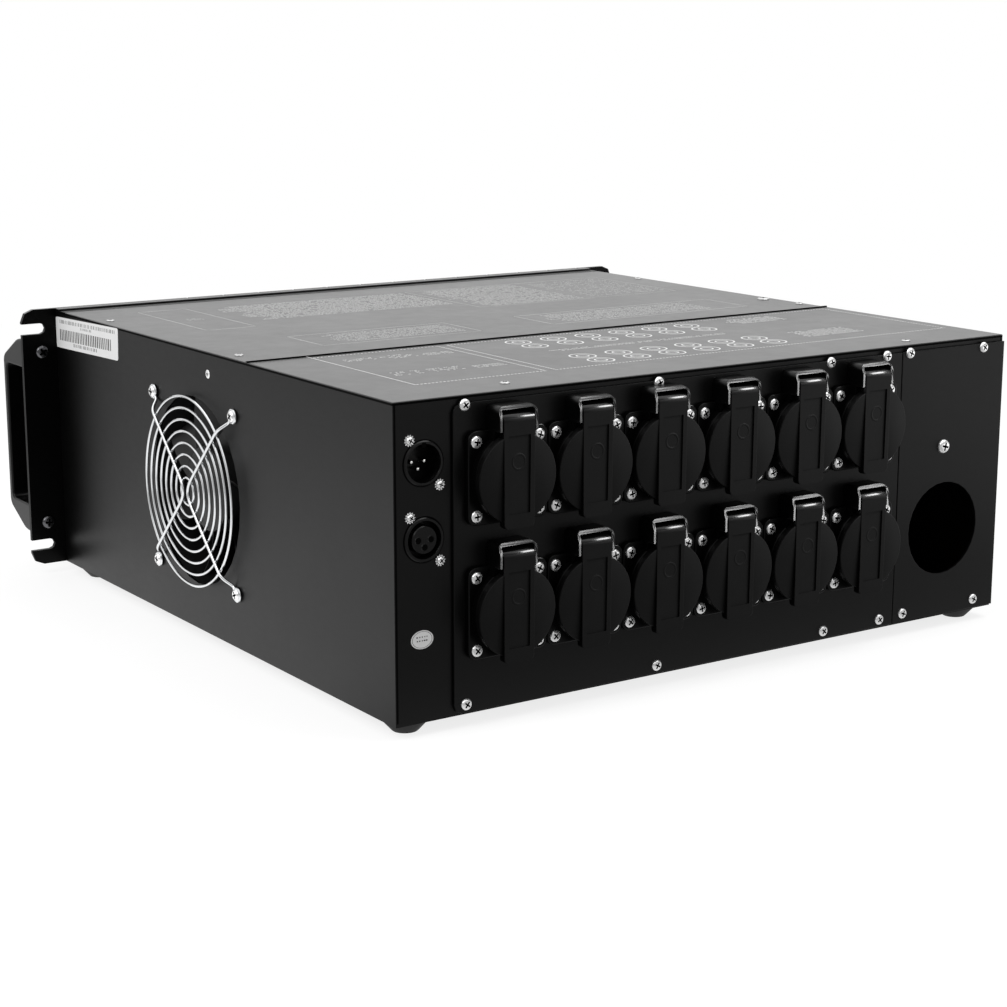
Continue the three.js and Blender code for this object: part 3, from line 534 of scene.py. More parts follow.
seam_low, seam_high = cover_top - 1.7, cover_top - 0.55
seam_y = (CASE_DEPTH - 1, CASE_DEPTH + SEAM)
strips = [((-HALF_WIDTH, HALF_WIDTH), seam_y, (seam_low, seam_high))]
for side in (-1, 1):
    under_cover = sorted((side * (HALF_WIDTH - 1), side * (HALF_WIDTH + SEAM)))
    corner = sorted((side * (HALF_WIDTH - 1.7), side * (HALF_WIDTH - 0.6)))
    strips.append((under_cover, (3, CASE_DEPTH), (seam_low, seam_high)))
    strips.append((corner, seam_y, (2, seam_low)))
# Thin black strips, as painted shade in the gaps between the sheets.
gap_shade_strips = joined(*[block(*zip(*spans)) for spans in strips])
keep("sheet_seams", gap_shade_strips, black_and_painted_shade)
print("seams, mm from the top:", round(cover_top - seam_high, 2))

# %% [markdown]
# ## Screws
# A pan head has a domed top, a short straight rim and a cross recess. The rings of the head are
# circles; towards the middle one ring is pulled into the shape of a cross, and the next one goes
# down into the head. Sampled every 15 degrees, a cross has a point at each of its corners. The
# recess's faces get a black finish, a painted shade for the dark deep in the recess.

# %% A cross-recessed screw head
def grow(shape, face):
    """Extrudes one face of a closed shape, and gives the new face."""
    closed = all(len(edge.link_faces) == 2 for edge in face.edges)
    made = bmesh.ops.extrude_face_region(shape, geom=[face])["geom"]
    if closed:
        bmesh.ops.delete(shape, geom=[face], context="FACES_ONLY")
    return next(g for g in made if isinstance(g, bmesh.types.BMFace))


def cross_reach(angle, length, half_width):
    """How far a cross's outline is from its middle at an angle."""
    folded = math.radians(abs((math.degrees(angle) + 45) % 90 - 45))
    if math.tan(folded) * length <= half_width:
        return length / math.cos(folded)
    return half_width / math.sin(folded)


def screw_head(diameter, height, cross):
    """A screw head that sits on z = 0, with its recess upwards."""
    radius = diameter / 2
    shape = bmesh.new()
    bmesh.ops.create_circle(shape, cap_ends=True, radius=radius, segments=24)
    rims = [(1, 0.3), (0.96, 0.5), (0.84, 0.82), (0.68, 1)]
    reach, half_width = cross * radius, 0.15 * radius
    levels = [("round", share * radius, rise * height) for share, rise in rims]
    levels.append(("cross", (reach, half_width), height))
    levels.append(("cross", (reach * 0.85, half_width * 0.75), height * 0.3))
    face = next(iter(shape.faces))
    for kind, size, z in levels:
        outside = set(shape.faces)
        face = grow(shape, face)
        for vert in face.verts:
            angle = math.atan2(vert.co.y, vert.co.x)
            reach_here = size if kind == "round" else cross_reach(angle, *size)
            vert.co = (reach_here * math.cos(angle), reach_here * math.sin(angle), z)
    # The recess's faces take the second finish, which is black: painted shade.
    for made in set(shape.faces) - outside:
        made.material_index = 1
    bmesh.ops.recalc_face_normals(shape, faces=shape.faces)
    return shape

# %% Turned shapes
LAID = {
    "z": Matrix.Identity(4),
    "y": Matrix.Rotation(-math.pi / 2, 4, "X"),
    "x": Matrix.Rotation(math.pi / 2, 4, "Y"),
}


def turned(profile, steps, closed=False, toward="z"):
    """A profile of (radius, height) points spun round the z axis, then laid along another."""
    shape = bmesh.new()
    verts = [shape.verts.new((radius, 0, height)) for radius, height in profile]
    edges = [shape.edges.new(pair) for pair in zip(verts, verts[1:])]
    if closed:
        edges.append(shape.edges.new((verts[-1], verts[0])))
    way = {"cent": (0, 0, 0), "axis": (0, 0, 1), "angle": math.tau}
    bmesh.ops.spin(shape, geom=verts + edges, steps=steps, use_merge=True, **way)
    bmesh.ops.remove_doubles(shape, verts=shape.verts, dist=1e-4)
    bmesh.ops.recalc_face_normals(shape, faces=shape.faces)
    return moved(shape, LAID[toward])


def hoop(inner, outer, low, high, steps=48, toward="y"):
    """A ring with a square section."""
    section = [(inner, low), (outer, low), (outer, high), (inner, high)]
    return turned(section, steps, True, toward)

# %% Washers and sets of screws
def star_washer(inner, outer, teeth=12, thickness=0.6, notch=0.72, lift=0.25):
    """A toothed lock washer: a ring whose rim goes in at each notch and up at each tooth."""
    shape = hoop(inner, outer, 0, thickness, teeth * 2, "z")
    for vert in shape.verts:
        if vert.co.xy.length > (inner + outer) / 2:
            if round(math.atan2(vert.co.y, vert.co.x) / math.tau * teeth * 2) % 2:
                vert.co.z += lift
            else:
                vert.co.xy *= notch
    return shape


def facing(point, way, turn):
    """Where a screw goes: its seat, the way that it faces, and how far it's turned."""
    spin = Matrix.Rotation(math.radians(turn), 4, "Z")
    return Matrix.Translation(point) @ LAID[way] @ spin


def repeated(shape, places):
    """The shape at each place, which is a matrix or a point."""
    scrap = poured(shape)
    whole = bmesh.new()
    for place in places:
        first = len(whole.verts)
        whole.from_mesh(scrap)
        whole.verts.ensure_lookup_table()
        bmesh.ops.transform(whole, matrix=as_matrix(place), verts=whole.verts[first:])
    bpy.data.meshes.remove(scrap)
    return whole


def screws(name, points, way, diameter, height, finish=screw_zinc, cross=0.62):
    """A set of the same screw, each turned as the screwdriver left it."""
    places = [facing(p, way, random.uniform(0, 90)) for p in points]
    shape = repeated(screw_head(diameter, height, cross), places)
    keep(name, shape, [finish, black_and_painted_shade])

# %% Screws that hold the covers and plates
plate_face = node_span("outlet_plate")[1].y
OUTLET_PLATE_SCREWS = [(175.6, 166), (49.9, 166), (-75.4, 166), (-119.4, 166)]
OUTLET_PLATE_SCREWS += [(175.3, 6), (48.5, 6), (-75.9, 6), (-120.9, 6)]
TERMINAL_COVER_SCREWS = [(-138.1, 166.2), (-199.4, 164.7), (-140.1, 6.8), (-200.3, 6.9)]
LARGE_BACK_SCREW = (-168.8, 107)
COVER_SCREWS = [(209.2, 69.9), (208.6, 247), (137.2, 412.8), (-148.2, 418.6)]
COVER_SCREWS += [(-212.8, 72.1), (-213.3, 250.6)]
LARGE_COVER_SCREW = (-208.8, 218.8)


def on_back(spots):
    return [(x, plate_face, z) for x, z in spots]


def on_top(spots):
    return [(x, y, cover_top) for x, y in spots]


random.seed(41)
screws("plate_screws", on_back(OUTLET_PLATE_SCREWS + TERMINAL_COVER_SCREWS), "y", 6.4, 1.6)
screws("large_back_screw", on_back([LARGE_BACK_SCREW]), "y", 8.6, 2.2)
screws("cover_screws", on_top(COVER_SCREWS), "z", 5.4, 0.8, cover_zinc)
screws("large_cover_screw", on_top([LARGE_COVER_SCREW]), "z", 8.4, 1.2, cover_zinc)

# %% [markdown]
# ## Mains outlets
# A panel outlet has a square flange with a screw in each corner, a round well for the plug and a
# hood on top that carries the lid's hinge. The well is turned from a profile. The hood is an
# arch drawn out towards the viewer, whose front edge then goes back where the roof begins.

# %% Outlet sizes
FLANGE = 24.9
FLANGE_THICKNESS = 3.2
WELL_RADIUS = 19.6
WELL_FLOOR = -9.8
COLLAR_RADIUS = 23.2
COLLAR_OUT = 7.7
BODY_RADIUS = 21.4
BODY_BACK = -28
HOOD_HALF = 12.1
CHEEK = 2
HOOD_LOW = 24.9
HOOD_TOP = 37.8
HOOD_ROOF = 1.8
HOOD_BACK = 2.6
HOOD_CORNER = 3.6
HOOD_FRONT = 13.2
CHEEK_TOP = 33
ROOF_SETBACK = 3.9
HOOD_RIM = 0.4
HOOD_FOOT = 18

# %% Outlines and slabs
def arc(u, v, radius, start, end, steps):
    """Points on a circle, from one angle in degrees to another."""
    turns = [math.radians(start + (end - start) * i / steps) for i in range(steps + 1)]
    return [(u + radius * math.cos(t), v + radius * math.sin(t)) for t in turns]


def round_rectangle(u_span, v_span, radius, steps=6):
    (u0, u1), (v0, v1) = u_span, v_span
    return (
        arc(u1 - radius, v0 + radius, radius, -90, 0, steps)
        + arc(u1 - radius, v1 - radius, radius, 0, 90, steps)
        + arc(u0 + radius, v1 - radius, radius, 90, 180, steps)
        + arc(u0 + radius, v0 + radius, radius, 180, 270, steps)
    )


def drawn_out(shape, faces, way):
    """Closes a shape by drawing its faces out along a way."""
    grown = bmesh.ops.extrude_face_region(shape, geom=faces)
    verts = [g for g in grown["geom"] if isinstance(g, bmesh.types.BMVert)]
    bmesh.ops.translate(shape, verts=verts, vec=way)
    bmesh.ops.recalc_face_normals(shape, faces=shape.faces)
    return shape


def slab(outline, low, high, axis):
    """An outline drawn out along an axis. It is given in (x, y), (x, z) or (y, z)."""
    spot, way = {
        "z": (lambda u, v: (u, v, low), (0, 0, 1)),
        "y": (lambda u, v: (u, low, v), (0, 1, 0)),
        "x": (lambda u, v: (low, u, v), (1, 0, 0)),
    }[axis]
    shape = bmesh.new()
    face = shape.faces.new([shape.verts.new(spot(u, v)) for u, v in outline])
    return drawn_out(shape, [face], Vector(way) * (high - low))

# %% The outlet and its hood
def hood_front(z):
    """How far out the hood reaches at a height: straight cheeks, with the roof drawn back."""
    share = min(1, max(0, (z - CHEEK_TOP) / (HOOD_TOP - CHEEK_TOP)))
    return HOOD_FRONT - ROOF_SETBACK * (1 - math.cos(share * math.pi / 2))


def arch(half, top, corner, low, steps):
    """A doorway outline from the lower right, over the top, to the lower left."""
    rises = [low + (top - corner - low) * i / 5 for i in range(5)]
    return (
        [(half, z) for z in rises]
        + arc(half - corner, top - corner, corner, 0, 90, steps)
        + arc(-half + corner, top - corner, corner, 90, 180, steps)
        + [(-half, z) for z in reversed(rises)]
    )


def hood():
    """The arch with its back wall, and the block that ties it to the collar."""
    outer = arch(HOOD_HALF, HOOD_TOP, HOOD_CORNER, HOOD_LOW, 8)
    inner = arch(HOOD_HALF - CHEEK, HOOD_TOP - HOOD_ROOF, 0.7, HOOD_LOW, 1)
    band = slab(outer + inner[::-1], HOOD_BACK, HOOD_BACK + 1, "y")
    for vert in band.verts:
        if vert.co.y > HOOD_BACK + 0.5:
            vert.co.y = hood_front(vert.co.z)
    is_rim = lambda e: all(v.co.y > HOOD_BACK + 0.5 for v in e.verts)
    is_end = lambda e: all(v.co.z < HOOD_LOW + 0.1 for v in e.verts)
    rounded(band, HOOD_RIM, 3, test=lambda e: is_rim(e) and not is_end(e))
    back = slab(outer, 0, HOOD_BACK, "y")
    foot = block((-HOOD_HALF, 0, HOOD_FOOT), (HOOD_HALF, COLLAR_OUT, HOOD_LOW))
    return joined(band, back, foot)


def outlet_shell():
    """Flange, collar and well in one turned shape on a rounded square."""
    square = round_rectangle((-FLANGE, FLANGE), (-FLANGE, FLANGE), 5)
    flange = rounded(slab(square, 0, FLANGE_THICKNESS, "y"), 0.6, 3)
    profile = [
        (0, WELL_FLOOR),
        (WELL_RADIUS, WELL_FLOOR),
        (WELL_RADIUS, COLLAR_OUT - 0.6),
        (WELL_RADIUS + 0.6, COLLAR_OUT),
        (COLLAR_RADIUS - 0.5, COLLAR_OUT),
        (COLLAR_RADIUS, COLLAR_OUT - 0.5),
        (COLLAR_RADIUS, FLANGE_THICKNESS - 0.5),
        (BODY_RADIUS, FLANGE_THICKNESS - 0.5),
        (BODY_RADIUS, BODY_BACK),
        (0, BODY_BACK),
    ]
    return joined(flange, turned(profile, 64, toward="y"), hood())


outlet_low, outlet_high = node_span("outlet_body_01")
print("outlet, mm:", [round(v, 1) for v in outlet_high - outlet_low])

# %% [markdown]
# ### Contacts
# With the lid up, the well shows two round contact holes, 19 mm apart, and a spring clip for the
# earth at its top and bottom. Each hole is a turned ring round a black disc, painted shade for
# the hole's depth, and each clip is a bent strip of nickel-plated brass.

# %% Contacts
CONTACT_SPACING = 19
CONTACT_SPOTS = [(side * CONTACT_SPACING / 2, WELL_FLOOR - 0.1, 0) for side in (-1, 1)]
CLIP_OUT = 4.5


def puck(radius, height, steps=48, toward="y"):
    """A disc that stands on zero."""
    return turned([(0, 0), (radius, 0), (radius, height), (0, height)], steps, toward=toward)


def contact_rings():
    ring = turned([(2.5, 0), (3.4, 0), (3.4, 0.8), (3.1, 1.1), (2.5, 1.1)], 24, True, "y")
    return repeated(ring, CONTACT_SPOTS)


def earth_clip():
    """A spring strip that stands at the top of the well and bends towards its middle."""
    strip = [
        (WELL_FLOOR - 0.2, 18.6),
        (CLIP_OUT - 3, 18.6),
        (CLIP_OUT, 17.4),
        (CLIP_OUT, 16.7),
        (CLIP_OUT - 3.4, 17.7),
        (-1, 15.8),
        (-5, 17.6),
        (WELL_FLOOR - 0.2, 17.7),
    ]
    return rounded(slab(strip, -2.2, 2.2, "x"), 0.15, 1)

# %% [markdown]
# ## Lids
# A lid is a disc that shuts the well and a strap that ends in a rounded heel under the hood. The
# disc is thicker at the top, so that it sheds rain, and lower under the strap. The strap's face
# has a long sunk panel, made by insetting the face and pushing the inset part in, and a plain
# raised ring on it.

# %% Lid sizes
DISC_RADIUS = 24.0
DISC_DROP = 0.4
DISC_BACK = 8.0
DISC_FRONT_HIGH = 13.4
DISC_FRONT_LOW = 11.4
DISC_UNDER_STRAP = 11.2
DISC_EDGE = 0.5
HIDDEN_HALF = 8.4
STRAP_HALF_TOP = 9.8
STRAP_HALF_FOOT = 9.4
STRAP_OUT = 13.6
STRAP_BACK = 9.0
STRAP_DROP = 26.5
STRAP_FOOT_ROUND = 2.2
STRAP_EDGE = 0.25
HEEL = 4.2
HEEL_TOP = 4.5
KNUCKLE = 4.2
HINGE_OUT = 7.4
HINGE_UP = 29.7
SUNK_SIDE = 2.9
SUNK_HIGH = 22.4
SUNK_LOW = -18.8
SUNK_DEPTH = 0.8
RING_UP = 8.4

# %% The disc of a lid
def lid_disc():
    outline = arc(0, -DISC_DROP, DISC_RADIUS, 0, 360, 72)[:-1]
    disc = slab(outline, DISC_BACK, DISC_FRONT_HIGH, "y")
    slope = (DISC_FRONT_HIGH - DISC_FRONT_LOW) / (2 * DISC_RADIUS)
    for vert in disc.verts:
        if vert.co.y > DISC_BACK + 0.1:
            vert.co.y = DISC_FRONT_HIGH - slope * (DISC_RADIUS - vert.co.z)
    rounded(disc, DISC_EDGE, 3)
    for x in (-HIDDEN_HALF - 0.5, -HIDDEN_HALF, HIDDEN_HALF, HIDDEN_HALF + 0.5):
        parts = disc.verts[:] + disc.edges[:] + disc.faces[:]
        bmesh.ops.bisect_plane(disc, geom=parts, plane_co=(x, 0, 0), plane_no=(1, 0, 0))
    for vert in disc.verts:
        if abs(vert.co.x) < HIDDEN_HALF + 0.1 and vert.co.y > DISC_UNDER_STRAP:
            vert.co.y = DISC_UNDER_STRAP
    return disc

# %% The strap of a lid
def lid_strap():
    top = HINGE_UP + HEEL_TOP
    outline = (
        [(STRAP_BACK, -STRAP_DROP), (STRAP_OUT, -STRAP_DROP)]
        + arc(STRAP_OUT - HEEL, top - HEEL, HEEL, 0, 90, 7)
        + arc(HINGE_OUT, HINGE_UP, KNUCKLE, 90, 270, 12)
        + [(STRAP_BACK, HINGE_UP - KNUCKLE)]
    )
    strap = slab(outline, -STRAP_HALF_TOP, STRAP_HALF_TOP, "x")
    for vert in strap.verts:
        share = max(0, (HINGE_UP - vert.co.z) / (HINGE_UP + STRAP_DROP))
        half = STRAP_HALF_TOP + (STRAP_HALF_FOOT - STRAP_HALF_TOP) * share
        vert.co.x = math.copysign(half, vert.co.x)
    front = max(strap.faces, key=lambda f: f.normal.y * f.calc_area())
    bmesh.ops.inset_region(strap, faces=[front], thickness=SUNK_SIDE, use_even_offset=True)
    for vert in front.verts:
        vert.co.z = SUNK_HIGH if vert.co.z > 0 else SUNK_LOW
    sunk = grow(strap, front)
    bmesh.ops.translate(strap, verts=sunk.verts, vec=(0, -SUNK_DEPTH, 0))
    bmesh.ops.recalc_face_normals(strap, faces=strap.faces)
    foot = lambda e: all(v.co.z < -STRAP_DROP + 0.1 for v in e.verts)
    upright = lambda e: foot(e) and abs(e.verts[0].co.x - e.verts[1].co.x) < 0.1
    rounded(strap, STRAP_FOOT_ROUND, 4, test=upright)
    outer = lambda e: max(abs(v.co.x) for v in e.verts) > STRAP_HALF_FOOT - 0.8
    return rounded(strap, STRAP_EDGE, 2, test=outer)


def strap_ring():
    """A plain raised ring on the sunk panel."""
    section = [(3.3, -0.2), (3.3, 0), (3.75, 0.16), (4.2, 0.16), (4.65, 0), (4.65, -0.2)]
    ring = turned(section, 40, True, "y")
    return moved(ring, (0, STRAP_OUT - SUNK_DEPTH, RING_UP))

# %% A whole lid
def seal():
    """The rib on the back of the lid that closes the well."""
    rib = [(16.6, 0), (16.8, -1.6), (18.2, -1.6), (18.4, 0), (18.4, 0.3), (16.6, 0.3)]
    return moved(turned(rib, 48, True, "y"), (0, DISC_BACK, 0))


def hinge_stubs():
    spots = [(x, HINGE_OUT, HINGE_UP) for x in (STRAP_HALF_TOP - 0.2, -STRAP_HALF_TOP - 1.5)]
    return repeated(puck(1.6, 1.7, 20, "x"), spots)


def lid_shell():
    """Only the strap's front face and the round parts have the grain. The heel is polished."""
    strap = painted(lid_strap(), lambda f: f.normal.y > 0.9)
    round_parts = joined(lid_disc(), strap_ring(), seal(), hinge_stubs())
    return joined(painted(round_parts, lambda f: 1), strap)

# %% Twelve outlets with their lids
TAGS = [f"{number:02d}" for number in range(1, 13)]
SCREW_X = (-19.4, 20.0)
SCREW_Z = (-19.9, 19.3)
seat_y = plate_face + SEAT_GAP
outlet_screw_points = []
for tag in TAGS:
    lid_node, body_node = "outlet_lid_" + tag, "outlet_body_" + tag
    centre = Vector((node_middle(lid_node).x, seat_y, node_span(body_node)[0].z + FLANGE))
    there = Matrix.Translation(centre)
    outlet = moved(outlet_shell(), there)
    keep("outlet_shell_" + tag, outlet, outlet_gloss, [body_node])
    lid, finishes = moved(lid_shell(), there), [lid_polish, lid_grain]
    keep("lid_shell_" + tag, lid, finishes, [lid_node], "lid_" + tag)
    for x in SCREW_X:
        outlet_screw_points += [centre + Vector((x, FLANGE_THICKNESS, z)) for z in SCREW_Z]
    rings = moved(contact_rings(), there)
    keep("contact_rings_" + tag, rings, outlet_gloss)
    # A black disc at the foot of each contact hole: painted shade for its depth.
    bore_shade = moved(repeated(puck(2.6, 0.35, 24), CONTACT_SPOTS), there)
    keep("contact_bores_" + tag, bore_shade, black_and_painted_shade)
    clips = repeated(earth_clip(), [there, there @ Matrix.Rotation(math.pi, 4, "Y")])
    keep("earth_clips_" + tag, clips, pin_silver)
screws("outlet_screws", outlet_screw_points, "y", 6.6, 1.3)
print("outlets:", len(TAGS))

# %% [markdown]
# ## Control connectors
# The three-pole connectors sit behind the sheet, and only a thin ring stands proud of it. The
# male one is a well with three pins and a key at the top; the female one has an insert with
# three sockets. Each is held by two screws on toothed washers, set on a slant.

# %% Connectors
PIN_CIRCLE = 3.85
PIN_RADIUS = 1.15
PIN_BACK = -12.1
SOCKET_OUT = 0.98
RIM_RADIUS = 11.8
SHELL_RADIUS = 11.2
SHELL_BACK = -15.8
MALE_WELL = (-12, 9.8)
FEMALE_WELL = (-8, 9.7)
CONNECTOR_SCREWS = [(8.5, 12.6), (-9.5, -12)]
PIN_SPOTS = [(-PIN_CIRCLE, 0), (PIN_CIRCLE, 0), (0, -PIN_CIRCLE)]


def connector_place(node):
    middle = node_middle(node)
    return Matrix.Translation((middle.x, CASE_DEPTH, middle.z))


def at_pins(shape, out):
    return repeated(shape, [(x, out, z) for x, z in PIN_SPOTS])

# %% Connector shells
def holed_slab(outline, radius, low, high):
    """An outline with a round hole in its middle, drawn out along y."""
    shape = bmesh.new()
    rims = [outline, arc(0, 0, radius, 0, 360, len(outline))[:-1]]
    edges = []
    for rim in rims:
        verts = [shape.verts.new((u, low, v)) for u, v in rim]
        edges += [shape.edges.new(pair) for pair in zip(verts, verts[1:] + verts[:1])]
    faces = bmesh.ops.bridge_loops(shape, edges=edges)["faces"]
    return drawn_out(shape, faces, (0, high - low, 0))


def connector_flange():
    outline = round_rectangle((-13, 13), (-15.5, 15.5), 2, 11)
    start = len(outline) // 2 + 6
    return holed_slab(outline[-start:] + outline[:-start], SHELL_RADIUS, -3.4, -1.8)


def connector_shell(floor, bore):
    """A turned shell round a well, with the flange that is behind the sheet."""
    well = [(0, floor), (bore, floor), (bore, 0.3), (bore + 0.4, 1)]
    ring = [(RIM_RADIUS - 0.5, 1), (RIM_RADIUS, 0.5), (RIM_RADIUS, -3)]
    tail = [(SHELL_RADIUS, -3), (SHELL_RADIUS, SHELL_BACK), (0, SHELL_BACK)]
    return joined(turned(well + ring + tail, 56, toward="y"), connector_flange())

# %% Key, pins and sockets
def shell_key():
    """The key that stops a plug from going in turned: a black block, painted shade for its notch.
    """
    return block((-1.4, -12, 8.0), (1.4, 1.05, 11.0), 0.2, 1)


def female_insert():
    return turned([(0, -8.2), (7.5, -8.2), (7.5, 0.5), (7.1, 1), (0, 1)], 48, toward="y")


def socket_mouths():
    """The bevelled lips of the three sockets."""
    lip = turned([(1.7, 0), (2.2, 0), (2.1, 0.16), (1.7, 0.05)], 20, True, "y")
    return at_pins(lip, SOCKET_OUT)


def contact_pins():
    pin = turned([(0, 0), (PIN_RADIUS, 0), (PIN_RADIUS, 6.2), (0.7, 7), (0, 7.1)], 16, toward="y")
    return at_pins(pin, PIN_BACK)

# %% Two connectors with their screws
male_there = connector_place("connector_male")
female_there = connector_place("connector_female")
male = moved(connector_shell(*MALE_WELL), male_there)
keep("male_shell", male, connector_black, ["connector_male"])
# A black block at the top of the well: painted shade for the key's notch.
keep("male_key", moved(shell_key(), male_there), black_and_painted_shade)
keep("contact_pins", moved(contact_pins(), male_there), pin_silver)
female = joined(connector_shell(*FEMALE_WELL), female_insert(), socket_mouths())
moved(female, female_there)
keep("female_shell", female, connector_black, ["connector_female"])
# Black discs in the three sockets: painted shade for their depth.
socket_shade = moved(at_pins(puck(1.75, 0.05, 20), SOCKET_OUT), female_there)
keep("socket_darks", socket_shade, black_and_painted_shade)
# A thin black ring between a connector and the edge of its hole: painted shade for the gap
gap = hoop(RIM_RADIUS - 0.1, RIM_RADIUS + 0.6, -1, SEAM, 56)
gaps = repeated(gap, [male_there, female_there])
keep("connector_gaps", gaps, black_and_painted_shade)

washer_points = [
    place.translation + Vector((x, 0, z))
    for place in (male_there, female_there)
    for x, z in CONNECTOR_SCREWS
]
washer_turns = [facing(p, "y", 7 * i) for i, p in enumerate(washer_points)]
washers = repeated(star_washer(1.8, 3.2), washer_turns)
keep("star_washers", washers, screw_zinc)
raised = [p + Vector((0, 0.7, 0)) for p in washer_points]
screws("connector_screws", raised, "y", 4.5, 1.6)

# %% [markdown]
# ## The fan guard
# The guard is chrome-plated wire: eight rings welded to the backs of two bent spokes. Each spoke
# ends in an eye that a screw holds to the side. The rings are tori, and the spokes follow a path
# of straight runs with short bends.

# %% Bent wire
def soft_corner(before, corner, after, reach, steps):
    """The points of a short curve in place of a corner."""
    start, end = (corner + (side - corner).normalized() * reach for side in (before, after))
    shares = [step / steps for step in range(steps + 1)]
    return [start.lerp(corner, t).lerp(corner.lerp(end, t), t) for t in shares]


def softened(points, bend):
    """The same path with each corner turned into a short curve."""
    points = [Vector(p) for p in points]
    path = [points[0]]
    for before, corner, after in zip(points, points[1:], points[2:]):
        reach = min(bend, (before - corner).length / 2, (after - corner).length / 2)
        path += soft_corner(before, corner, after, reach, 5)
    return path + [points[-1]]


def wire(points, radius, sides, bend):
    """A round wire along points, with rounded corners."""
    path = softened(points, bend)
    curve = bpy.data.curves.new("wire", "CURVE")
    curve.dimensions = "3D"
    curve.bevel_depth = radius
    curve.bevel_resolution = (sides - 4) // 2
    curve.use_fill_caps = True
    spline = curve.splines.new("POLY")
    spline.points.add(len(path) - 1)
    for spot, point in zip(spline.points, path):
        spot.co = (*point, 1)
    holder = bpy.data.objects.new("wire", curve)
    mesh = bpy.data.meshes.new_from_object(holder)
    shape = bmesh.new()
    shape.from_mesh(mesh)
    bpy.data.objects.remove(holder)
    bpy.data.curves.remove(curve)
    bpy.data.meshes.remove(mesh)
    bmesh.ops.remove_doubles(shape, verts=shape.verts, dist=1e-4)
    bmesh.ops.recalc_face_normals(shape, faces=shape.faces)
    return shape

# %% Guard
FAN_CENTRE = Vector((HALF_WIDTH, *node_middle("fan_frame").yz))
RING_COUNT = 8
RING_OUTER = 56.9
RING_PITCH = 6.96
WIRE_RADIUS = 0.8
SPOKE_RADIUS = 1.0
GUARD_OUT = 5.2
SPOKE_OUT = GUARD_OUT + WIRE_RADIUS + 0.6
SCREW_SQUARE = 52.5
EYE_RADIUS = 3.6
JOG_BEGIN = 61
JOG_END = 68
RIVET_SPOT = (224.5, 157.9)


def torus(radius, thickness, steps):
    """A ring of round wire that faces along x."""
    section = arc(radius, 0, thickness, 0, 360, 10)[:-1]
    return turned(section, steps, True, "x")


def guard_spoke(side):
    """Corner, jog up, run to the middle, and back out to the lower corner."""
    rest = SPOKE_RADIUS + 0.1
    slant = math.sqrt(0.5)
    end = SCREW_SQUARE - EYE_RADIUS * slant
    top = [
        (rest, side * end, end),
        (rest, side * JOG_END * slant, JOG_END * slant),
        (SPOKE_OUT, side * JOG_BEGIN * slant, JOG_BEGIN * slant),
        (SPOKE_OUT, side * 5.3, 6),
    ]
    path = top + [(SPOKE_OUT, side * 2.3, 0)] + [(x, y, -z) for x, y, z in reversed(top)]
    return wire(path, SPOKE_RADIUS, 12, bend=4)


corners = [(y * SCREW_SQUARE, z * SCREW_SQUARE) for y in (-1, 1) for z in (-1, 1)]
radii = [RING_OUTER - i * RING_PITCH for i in range(RING_COUNT)]
rings = moved(joined(*[torus(radius, WIRE_RADIUS, 96) for radius in radii]), (GUARD_OUT, 0, 0))
eye_places = [(SPOKE_RADIUS + 0.1, y, z) for y, z in corners]
eyes = repeated(torus(EYE_RADIUS, SPOKE_RADIUS, 32), eye_places)
guard = moved(joined(rings, guard_spoke(-1), guard_spoke(1), eyes), FAN_CENTRE)
keep("guard_wires", guard, chrome, ["fan_guard"])
guard_screw_points = [FAN_CENTRE + Vector((0.6, y, z)) for y, z in corners]
screws("guard_screws", guard_screw_points, "x", 7.4, 2.4)
screws("side_rivet", [(HALF_WIDTH, *RIVET_SPOT)], "x", 5.2, 0.5, cross=0.35)

# %% [markdown]
# ## The fan
# Behind the guard is a plastic fan with seven swept blades on a cup-shaped hub. The frame's ring
# and struts are right as they come, so they only get their finish. The rotor is made again with
# thin curved blades, since those catch the light between the wires.

# %% Fan rotor
BLADES = 7
HUB_RADIUS = 26
BORE_RADIUS = 4.4
BORE_DEPTH = 12.8
BLADE_TIP = 55
rotor_span = [end.x - FAN_CENTRE.x for end in node_span("fan_rotor")]


def fan_hub():
    back, front = rotor_span
    cup = [
        (0, back + BORE_DEPTH),
        (0, front),
        (HUB_RADIUS - 2, front),
        (HUB_RADIUS - 0.5, front - 0.6),
        (HUB_RADIUS, front - 2),
        (HUB_RADIUS, back),
        (BORE_RADIUS, back),
        (BORE_RADIUS, back + BORE_DEPTH),
    ]
    return turned(cup, 56, toward="x")


def fan_blade():
    """A thin sheet that twists and sweeps from the hub to the tip."""
    back, front = rotor_span[0] + 0.8, rotor_span[1] - 0.8
    shape = bmesh.new()
    grid = bmesh.ops.create_grid(shape, x_segments=10, y_segments=8, size=0.5)["verts"]
    for vert in grid:
        across, along = vert.co.x + 0.5, vert.co.y + 0.5
        radius = HUB_RADIUS - 1 + (BLADE_TIP - HUB_RADIUS + 1) * along
        depth = back + (front - back) * (0.04 + 0.92 * across)
        sweep = 0.16 * along - (0.62 - 0.2 * along) * (across**1.4)
        vert.co = (depth, radius * math.sin(sweep), radius * math.cos(sweep))
    bmesh.ops.solidify(shape, geom=shape.faces[:], thickness=1.3)
    bmesh.ops.recalc_face_normals(shape, faces=shape.faces)
    return shape


turns = [Matrix.Rotation(math.tau * i / BLADES, 4, "X") for i in range(BLADES)]
rotor = moved(joined(fan_hub(), repeated(fan_blade(), turns)), FAN_CENTRE)
keep("rotor_shell", rotor, fan_plastic, ["fan_rotor"], "rotor")

# %% [markdown]
# ## Bow handles
# Each handle is a wide bar folded into a bow, with mitred corners and soft edges. Its side
# view, an outline with a window, is drawn out to the bar's width. One bevel then rounds the
# folds, and the last one softens the long edges under the hand.

